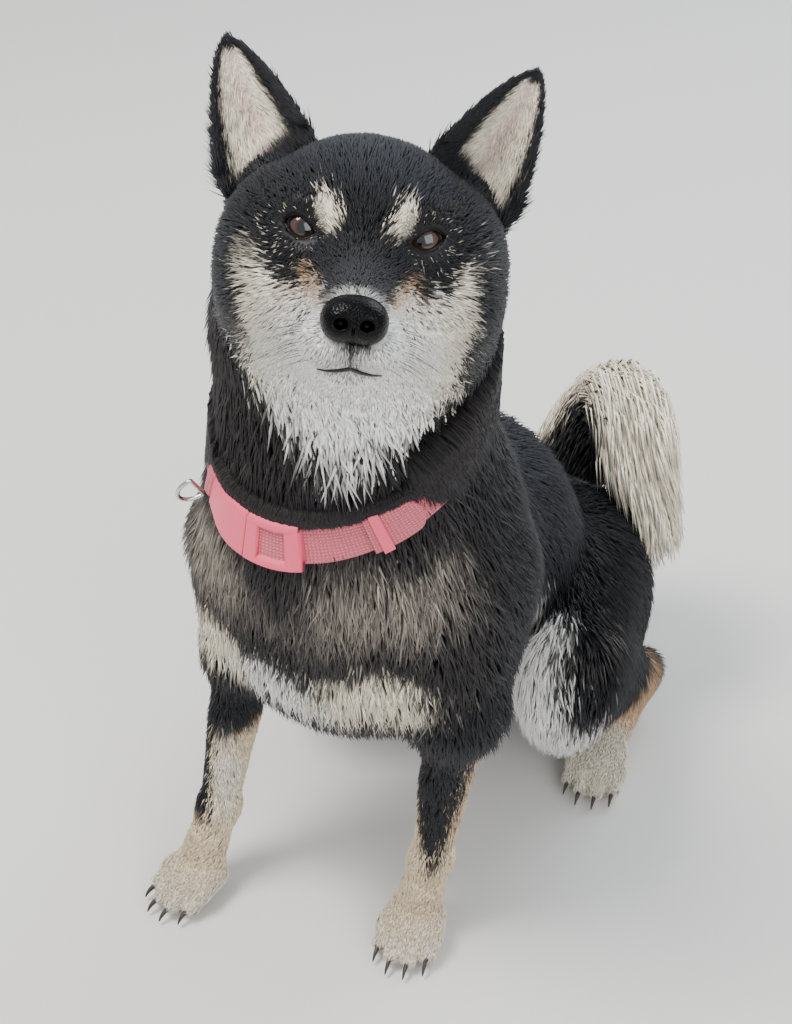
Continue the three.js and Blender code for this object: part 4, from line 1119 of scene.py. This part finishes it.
# the neck's coat hangs over the strap's upper edge, and hides the strap beside and behind the buckle
ruff = {"count": 17000, "shortest": 9, "past": (2, 17), "width": 1.25, "shownFrom": -52, "shownTo": 56}
angle = random.uniform(-180, 180, ruff["count"])
hidden = np.maximum(blendBetween(angle, ruff["shownTo"] - 6, ruff["shownTo"] + 8),
                    blendBetween(-angle, -ruff["shownFrom"] - 6, -ruff["shownFrom"] + 8))
rise = 10.5 + random.uniform(0, 1, len(angle)) * (3 + 24 * hidden) + (1 - hidden) * 2
past = random.uniform(*ruff["past"], len(angle))
length = ruff["shortest"] + (rise + past - ruff["shortest"]) * hidden
over = 0.3 + random.uniform(0, 1.6, len(angle))
lean = random.normal(0, 2.6, len(angle))
base = onCollar(angle, rise + 2, np.full(len(rise), -8.0))
middle = onCollar(angle + lean * 0.5, rise - length * (0.2 + 0.2 * hidden), over)
tip = onCollar(angle + lean, rise - length * (0.5 + 0.5 * hidden), over * 0.8 - 0.9 * hidden * (past > 9))
outward = unit(middle - collarMiddle - collarUp * ((middle - collarMiddle) @ collarUp)[:, None])
across = unit(np.cross(outward, tip - base))
ruffTones = markings(middle, headShare(middle)) * random.lognormal(0, 0.14, (len(angle), 1))
widths = ruff["width"] * random.uniform(0.7, 1.2, (len(angle), 1))
spindles("coat_ruff", base, middle, tip, across, outward, widths, ruffTones)
strapOuter, halfStrap = collar["outer"], collar["width"] / 2
strapInner, overStrap = strapOuter - collar["thick"], strapOuter + 0.35
degrees = np.linspace(collar["buckleTo"] - 3, 360 + collar["buckleFrom"] + 2, 150)
strap = band("strap", degrees, (halfStrap, strapInner, strapOuter, 0.9))
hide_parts("collar_strap")
degrees = np.linspace(collar["slideFrom"] - 3, collar["endTo"], 40)
taper = np.sqrt(np.clip(1 - np.clip((degrees - collar["endTo"] + 6) / 6, 0, 1) ** 2.4, 0.1, 1))
size = (halfStrap * taper, overStrap, overStrap + collar["thick"], 0.9)
strapEnd = band("strap_end", degrees, size)
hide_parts("collar_strap_end")
degrees = np.linspace(collar["slideFrom"], collar["slideTo"], 16)
slide = band("slide", degrees, (halfStrap + 0.9, overStrap + 0.2, 3.4, 1.4))
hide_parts("collar_slide")

# the prong half narrows towards the strap, the socket half is a frame round a webbing window
buckle = {"gap": 0.25, "neck": 8.2, "half": 10.8, "bar": 10.4, "rail": 3.4, "top": 4.4, "window": 8.2}
degrees = np.linspace(collar["buckleFrom"], collar["buckleJoint"] - buckle["gap"], 44)
share = (degrees - degrees[0]) / (degrees[-1] - degrees[0])
halfWidth = buckle["neck"] + (buckle["half"] - buckle["neck"]) * blendBetween(share, 0.2, 0.75)
top = buckle["top"] / 2 * (1 + blendBetween(share, 0.0, 0.5))
prong = band("buckle_prong", degrees, (halfWidth, strapInner + 0.3, top, 1.7))
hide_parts("collar_buckle_prong")
degrees = np.linspace(collar["buckleJoint"] + buckle["gap"], collar["buckleTo"], 44)
share = (degrees - degrees[0]) / (degrees[-1] - degrees[0])
size = (buckle["rail"] / 2, strapInner + 0.2, buckle["top"] - 0.9 * share ** 4, 1.5)
shift = buckle["half"] - buckle["rail"] / 2
railLow = band("buckle_rail_low", degrees, size, -shift)
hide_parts("collar_buckle_socket")
band("buckle_rail_high", degrees, size, shift)
start, span = degrees[0], degrees[-1] - degrees[0]
for name, low, high, less in (("bar_joint", 0.0, 0.22, 0), ("bar_end", 0.74, 1.0, 0.5)):
    size = (buckle["bar"], strapInner + 0.2, buckle["top"] - less, 1.6)
    band(f"buckle_{name}", start + span * np.linspace(low, high, 14), size)
size = (buckle["window"], strapOuter - 1, 1.4, 0.8)
band("buckle_window", start + span * np.linspace(0.15, 0.9, 20), size)

# the ring: a D of round wire that stands on the strap, held by a short loop of webbing
ring = {"height": 17, "depth": 12, "wire": 1.25, "foot": 0.36, "shoulder": 0.12, "steps": 64, "sides": 14}
turn = np.linspace(0, 1, ring["steps"], endpoint=False)
bow = turn > ring["foot"]
arc = np.where(bow, (turn - ring["foot"]) / (1 - ring["foot"]) * math.pi, 0)
riseLine = np.where(bow, np.cos(arc), -1 + turn / ring["foot"] * 2) * ring["height"] / 2
awayLine = np.where(bow, ring["shoulder"] + (1 - ring["shoulder"]) * np.sin(arc), 0) * ring["depth"]
footRise = np.array([-1.2, 0, 1.2]) * ring["height"] / 2
ringFoot = onCollar(np.full(3, float(collar["ringAt"])), footRise, np.zeros(3))
ringOut = collarOut(np.array([collar["ringAt"]]))[0]
footRadius = ((ringFoot - collarMiddle) @ ringOut).max() + strapOuter + 0.9 + ring["wire"]
line = collarMiddle + collarUp * riseLine[:, None] + ringOut * (footRadius + awayLine)[:, None]
ringAxis = np.cross(collarUp, ringOut)
ahead = unit(np.roll(line, -1, 0) - np.roll(line, 1, 0))
tube = tubeOf(line, np.cross(ahead, ringAxis), ringAxis, ring["wire"], ring["sides"])
ringPiece = sweepPiece("d_ring", tube, looped=True)
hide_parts("collar_ring")
bump = np.sin(np.linspace(0, math.pi, 20)) ** 0.6 * 3.0
size = (6.6, strapOuter - 0.4, strapOuter + 0.9 + bump, 0.7)
band("ring_loop", np.linspace(collar["ringAt"] - 4, collar["ringAt"] + 3.4, 20), size)

# Materials
print("materials")


def addNode(tree, kind, values=(), **settings):  # with the values of its inputs
    node = tree.nodes.new(kind)
    for key, value in settings.items():
        setattr(node, key, value)
    for key, value in dict(values).items():
        node.inputs[key].default_value = value
    return node


def join(tree, *links):  # each from a node's output to another node's input
    for start, output, end, entry in links:
        tree.links.new(start.outputs[output], end.inputs[entry])


def newGroup(name, entries, results):
    group = bpy.data.node_groups.new(name, "ShaderNodeTree")
    for way, sockets in (("INPUT", entries), ("OUTPUT", results)):
        for socket, kind in sockets:
            group.interface.new_socket(socket, in_out=way, socket_type="NodeSocket" + kind)
    return group, addNode(group, "NodeGroupInput"), addNode(group, "NodeGroupOutput")


def newMaterial(name, values):
    material = bpy.data.materials.new(name)
    material.use_nodes = True
    shader = material.node_tree.nodes["Principled BSDF"]
    for key, value in values.items():
        shader.inputs[key].default_value = value
    return material, material.node_tree, shader


def strandGroup():  # colour and roughness that vary from strand to strand and in broad drifts
    group, source, sink = newGroup("strandTone", [("Colour", "Color"), ("Scale", "Float")],
                                   [("Colour", "Color"), ("Roughness", "Float")])
    place = addNode(group, "ShaderNodeTexCoord")
    noise = addNode(group, "ShaderNodeTexNoise", {"Detail": 3})
    drift = addNode(group, "ShaderNodeMapRange", {"To Min": 0.78, "To Max": 1.22})
    rough = addNode(group, "ShaderNodeMapRange", {"To Min": 0.42, "To Max": 0.66})
    scaled = addNode(group, "ShaderNodeVectorMath", operation="SCALE")
    join(group, (place, "Object", noise, "Vector"), (source, "Scale", noise, "Scale"),
         (noise, "Fac", drift, "Value"), (source, "Colour", scaled, 0), (drift, "Result", scaled, "Scale"),
         (scaled, "Vector", sink, "Colour"), (noise, "Fac", rough, "Value"),
         (rough, "Result", sink, "Roughness"))
    return group


def grainGroup():  # a fine bump for moulded, horny and pebbled surfaces
    group, source, sink = newGroup("fineGrain", [("Scale", "Float"), ("Strength", "Float")],
                                   [("Normal", "Vector"), ("Grain", "Float")])
    place = addNode(group, "ShaderNodeTexCoord")
    cells = addNode(group, "ShaderNodeTexVoronoi")
    bump = addNode(group, "ShaderNodeBump", {"Distance": 0.0004})
    join(group, (place, "Object", cells, "Vector"), (source, "Scale", cells, "Scale"),
         (source, "Strength", bump, "Strength"), (cells, "Distance", bump, "Height"),
         (bump, "Normal", sink, "Normal"), (cells, "Distance", sink, "Grain"))
    return group


strandTone, fineGrain = strandGroup(), grainGroup()


def coatMaterial(name, scale):
    material, tree, shader = newMaterial(name, {
        "Specular IOR Level": 0.32, "Sheen Weight": 0.04, "Sheen Roughness": 0.5,
        "Sheen Tint": (0.75, 0.82, 1, 1),
    })
    stored = addNode(tree, "ShaderNodeAttribute", attribute_name="coat")
    group = addNode(tree, "ShaderNodeGroup", {"Scale": scale}, node_tree=strandTone)
    join(tree, (stored, "Color", group, "Colour"), (group, "Colour", shader, "Base Color"),
         (group, "Roughness", shader, "Roughness"))
    return material


def grainMaterial(name, colour, roughness, scale, strength, coatWeight=0.0, metallic=0.0, specular=0.5):
    material, tree, shader = newMaterial(name, {
        "Base Color": (*colour, 1), "Metallic": metallic, "Coat Weight": coatWeight,
        "Specular IOR Level": specular,
    })
    group = addNode(tree, "ShaderNodeGroup", {"Scale": scale, "Strength": strength}, node_tree=fineGrain)
    shade = addNode(tree, "ShaderNodeMapRange", {"To Min": roughness * 0.85, "To Max": roughness * 1.2})
    join(tree, (group, "Normal", shader, "Normal"), (group, "Grain", shade, "Value"),
         (shade, "Result", shader, "Roughness"))
    return material


def webbingMaterial():  # ribs across the strap, and a fine second weave along it
    material, tree, shader = newMaterial("pinkWebbing", {"Roughness": 0.75, "Sheen Weight": 0.2})
    uv = addNode(tree, "ShaderNodeUVMap", uv_map="UVMap")
    ribShape = {"Scale": 15, "Distortion": 0.4, "Detail": 1}
    rib = addNode(tree, "ShaderNodeTexWave", ribShape, bands_direction="X")
    cross = addNode(tree, "ShaderNodeTexWave", {"Scale": 20}, bands_direction="Y")
    both = addNode(tree, "ShaderNodeMath", operation="MULTIPLY")
    # the colour follows the weave's height: painted shade in its hollows, painted light on its ribs
    ramp = addNode(tree, "ShaderNodeValToRGB")
    for element, colour in zip(ramp.color_ramp.elements, ((196, 84, 100), (244, 142, 152))):
        element.color = (*tone(*colour), 1)
    bump = addNode(tree, "ShaderNodeBump", {"Distance": 0.0008, "Strength": 1.0})
    join(tree, (uv, "UV", rib, "Vector"), (uv, "UV", cross, "Vector"), (rib, "Fac", both, 0),
         (cross, "Fac", both, 1), (both, "Value", ramp, "Fac"), (ramp, "Color", shader, "Base Color"),
         (both, "Value", bump, "Height"), (bump, "Normal", shader, "Normal"))
    return material


def eyeMaterial():  # rings by the angle from the line of sight: pupil, brown iris with dark edge, dull white
    material, tree, shader = newMaterial("wetEye", {
        "Roughness": 0.12, "Coat Weight": 1.0, "Coat Roughness": 0.03,
    })
    stored = addNode(tree, "ShaderNodeAttribute", attribute_name="fromSight")
    place = addNode(tree, "ShaderNodeTexCoord")
    noise = addNode(tree, "ShaderNodeTexNoise", {"Scale": 900})
    jitter = addNode(tree, "ShaderNodeMath", {1: 0.06}, operation="MULTIPLY_ADD")
    ramp = addNode(tree, "ShaderNodeValToRGB")
    stops = [(0.0, (2, 2, 2)), (0.22, (4, 3, 3)), (0.26, (34, 19, 12)), (0.38, (72, 41, 24)),
             (0.47, (46, 26, 17)), (0.53, (12, 9, 9)), (0.6, (60, 48, 44)), (0.8, (120, 100, 94))]
    elements = ramp.color_ramp.elements
    while len(elements) < len(stops):
        elements.new(0.5)
    for element, (position, colour) in zip(elements, stops):
        element.position = position
        element.color = (*tone(*colour), 1)
    join(tree, (place, "Object", noise, "Vector"), (noise, "Fac", jitter, 0), (stored, "Fac", jitter, 2),
         (jitter, "Value", ramp, "Fac"), (ramp, "Color", shader, "Base Color"))
    return material


finishes = {  # the grain's colour, roughness, scale and strength
    "coat": coatMaterial("coatHair", 420), "skin": coatMaterial("coatSkin", 160),
    "nose": grainMaterial("nosePad", tone(4, 4, 5), 0.24, 1000, 0.5, specular=0.12),
    "lid": grainMaterial("lidSkin", tone(8, 7, 8), 0.4, 1200, 0.3, specular=0.25),
    "lip": grainMaterial("lipSkin", tone(44, 36, 39), 0.5, 1200, 0.4, coatWeight=0.1),
    "whisker": grainMaterial("whiskerHair", tone(34, 30, 30), 0.45, 700, 0.1),
    "claw": grainMaterial("clawHorn", tone(52, 44, 40), 0.42, 500, 0.3),
    "plastic": grainMaterial("pinkPlastic", tone(242, 88, 118), 0.42, 1500, 0.12, coatWeight=0.1),
    "steel": grainMaterial("ringSteel", tone(205, 205, 202), 0.22, 800, 0.08, metallic=1.0),
    "webbing": webbingMaterial(), "eye": eyeMaterial(),
}
kinds = [  # a piece takes the finish of the first of these that its name starts with
    ("coat", "coat"), ("tail_brush", "coat"), ("ear_coat", "coat"), ("skin", "skin"), ("ear_shell", "skin"),
    ("nose", "nose"), ("eyelid", "lid"), ("lip", "lip"), ("whiskers", "whisker"), ("claw_horn", "claw"),
    ("buckle_window", "webbing"), ("buckle", "plastic"), ("slide", "plastic"), ("strap", "webbing"),
    ("ring_loop", "webbing"), ("d_ring", "steel"), ("eye_ball", "eye"),
]
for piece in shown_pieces():
    finishName = next((finish for prefix, finish in kinds if piece.name.startswith(prefix)), None)
    if finishName:
        piece.data.materials.clear()
        piece.data.materials.append(finishes[finishName])

# Floor, light and camera
print("stage")
floorHalf = 6.0
floorMesh = bpy.data.meshes.new("floor")
floorCorners = [(x * floorHalf, y * floorHalf, 0) for x, y in ((-1, -1), (1, -1), (1, 1), (-1, 1))]
floorMesh.from_pydata(floorCorners, [], [(0, 1, 2, 3)])
floor = bpy.data.objects.new("floor", floorMesh)
bpy.context.scene.collection.objects.link(floor)
floor.data.materials.append(grainMaterial("paleFloor", tone(226, 224, 220), 0.8, 60, 0.02))

world = bpy.data.worlds.new("softRoom")
world.use_nodes = True
background = world.node_tree.nodes["Background"].inputs
background["Color"].default_value, background["Strength"].default_value = (0.93, 0.96, 1, 1), 0.75
bpy.context.scene.world = world
lights = [
    ("key", (-0.9, -0.8, 2.9), 1.1, 96, (1, 0.98, 0.95)),
    ("fill", (1.9, -1.2, 1.6), 2.0, 36, (0.95, 0.97, 1)),
    ("back", (0.6, 2.2, 2.0), 1.8, 46, (0.85, 0.93, 1)),
]
for name, place, size, power, colour in lights:
    data = bpy.data.lights.new(name, "AREA")
    data.size, data.energy, data.color = size, power, colour
    lamp = bpy.data.objects.new(name, data)
    lamp.location = place
    aim = np.array([0, 0, 0.3]) - np.array(place)
    lamp.rotation_euler = (math.atan2(math.hypot(aim[0], aim[1]), -aim[2]), 0, math.atan2(-aim[0], aim[1]))
    bpy.context.scene.collection.objects.link(lamp)

view = {"lens": 56.25, "sensor": 36, "pitch": 35, "azimuth": 28}
cameraData = bpy.data.cameras.new("camera")
cameraData.sensor_width, cameraData.lens = view["sensor"], view["lens"]
cameraData.clip_start, cameraData.clip_end = 0.05, 40
camera = bpy.data.objects.new("camera", cameraData)
camera.location = placeOf(cameraPlace)
camera.rotation_euler = (math.radians(90 - view["pitch"]), 0, math.radians(view["azimuth"]))
bpy.context.scene.collection.objects.link(camera)
bpy.context.scene.camera = camera
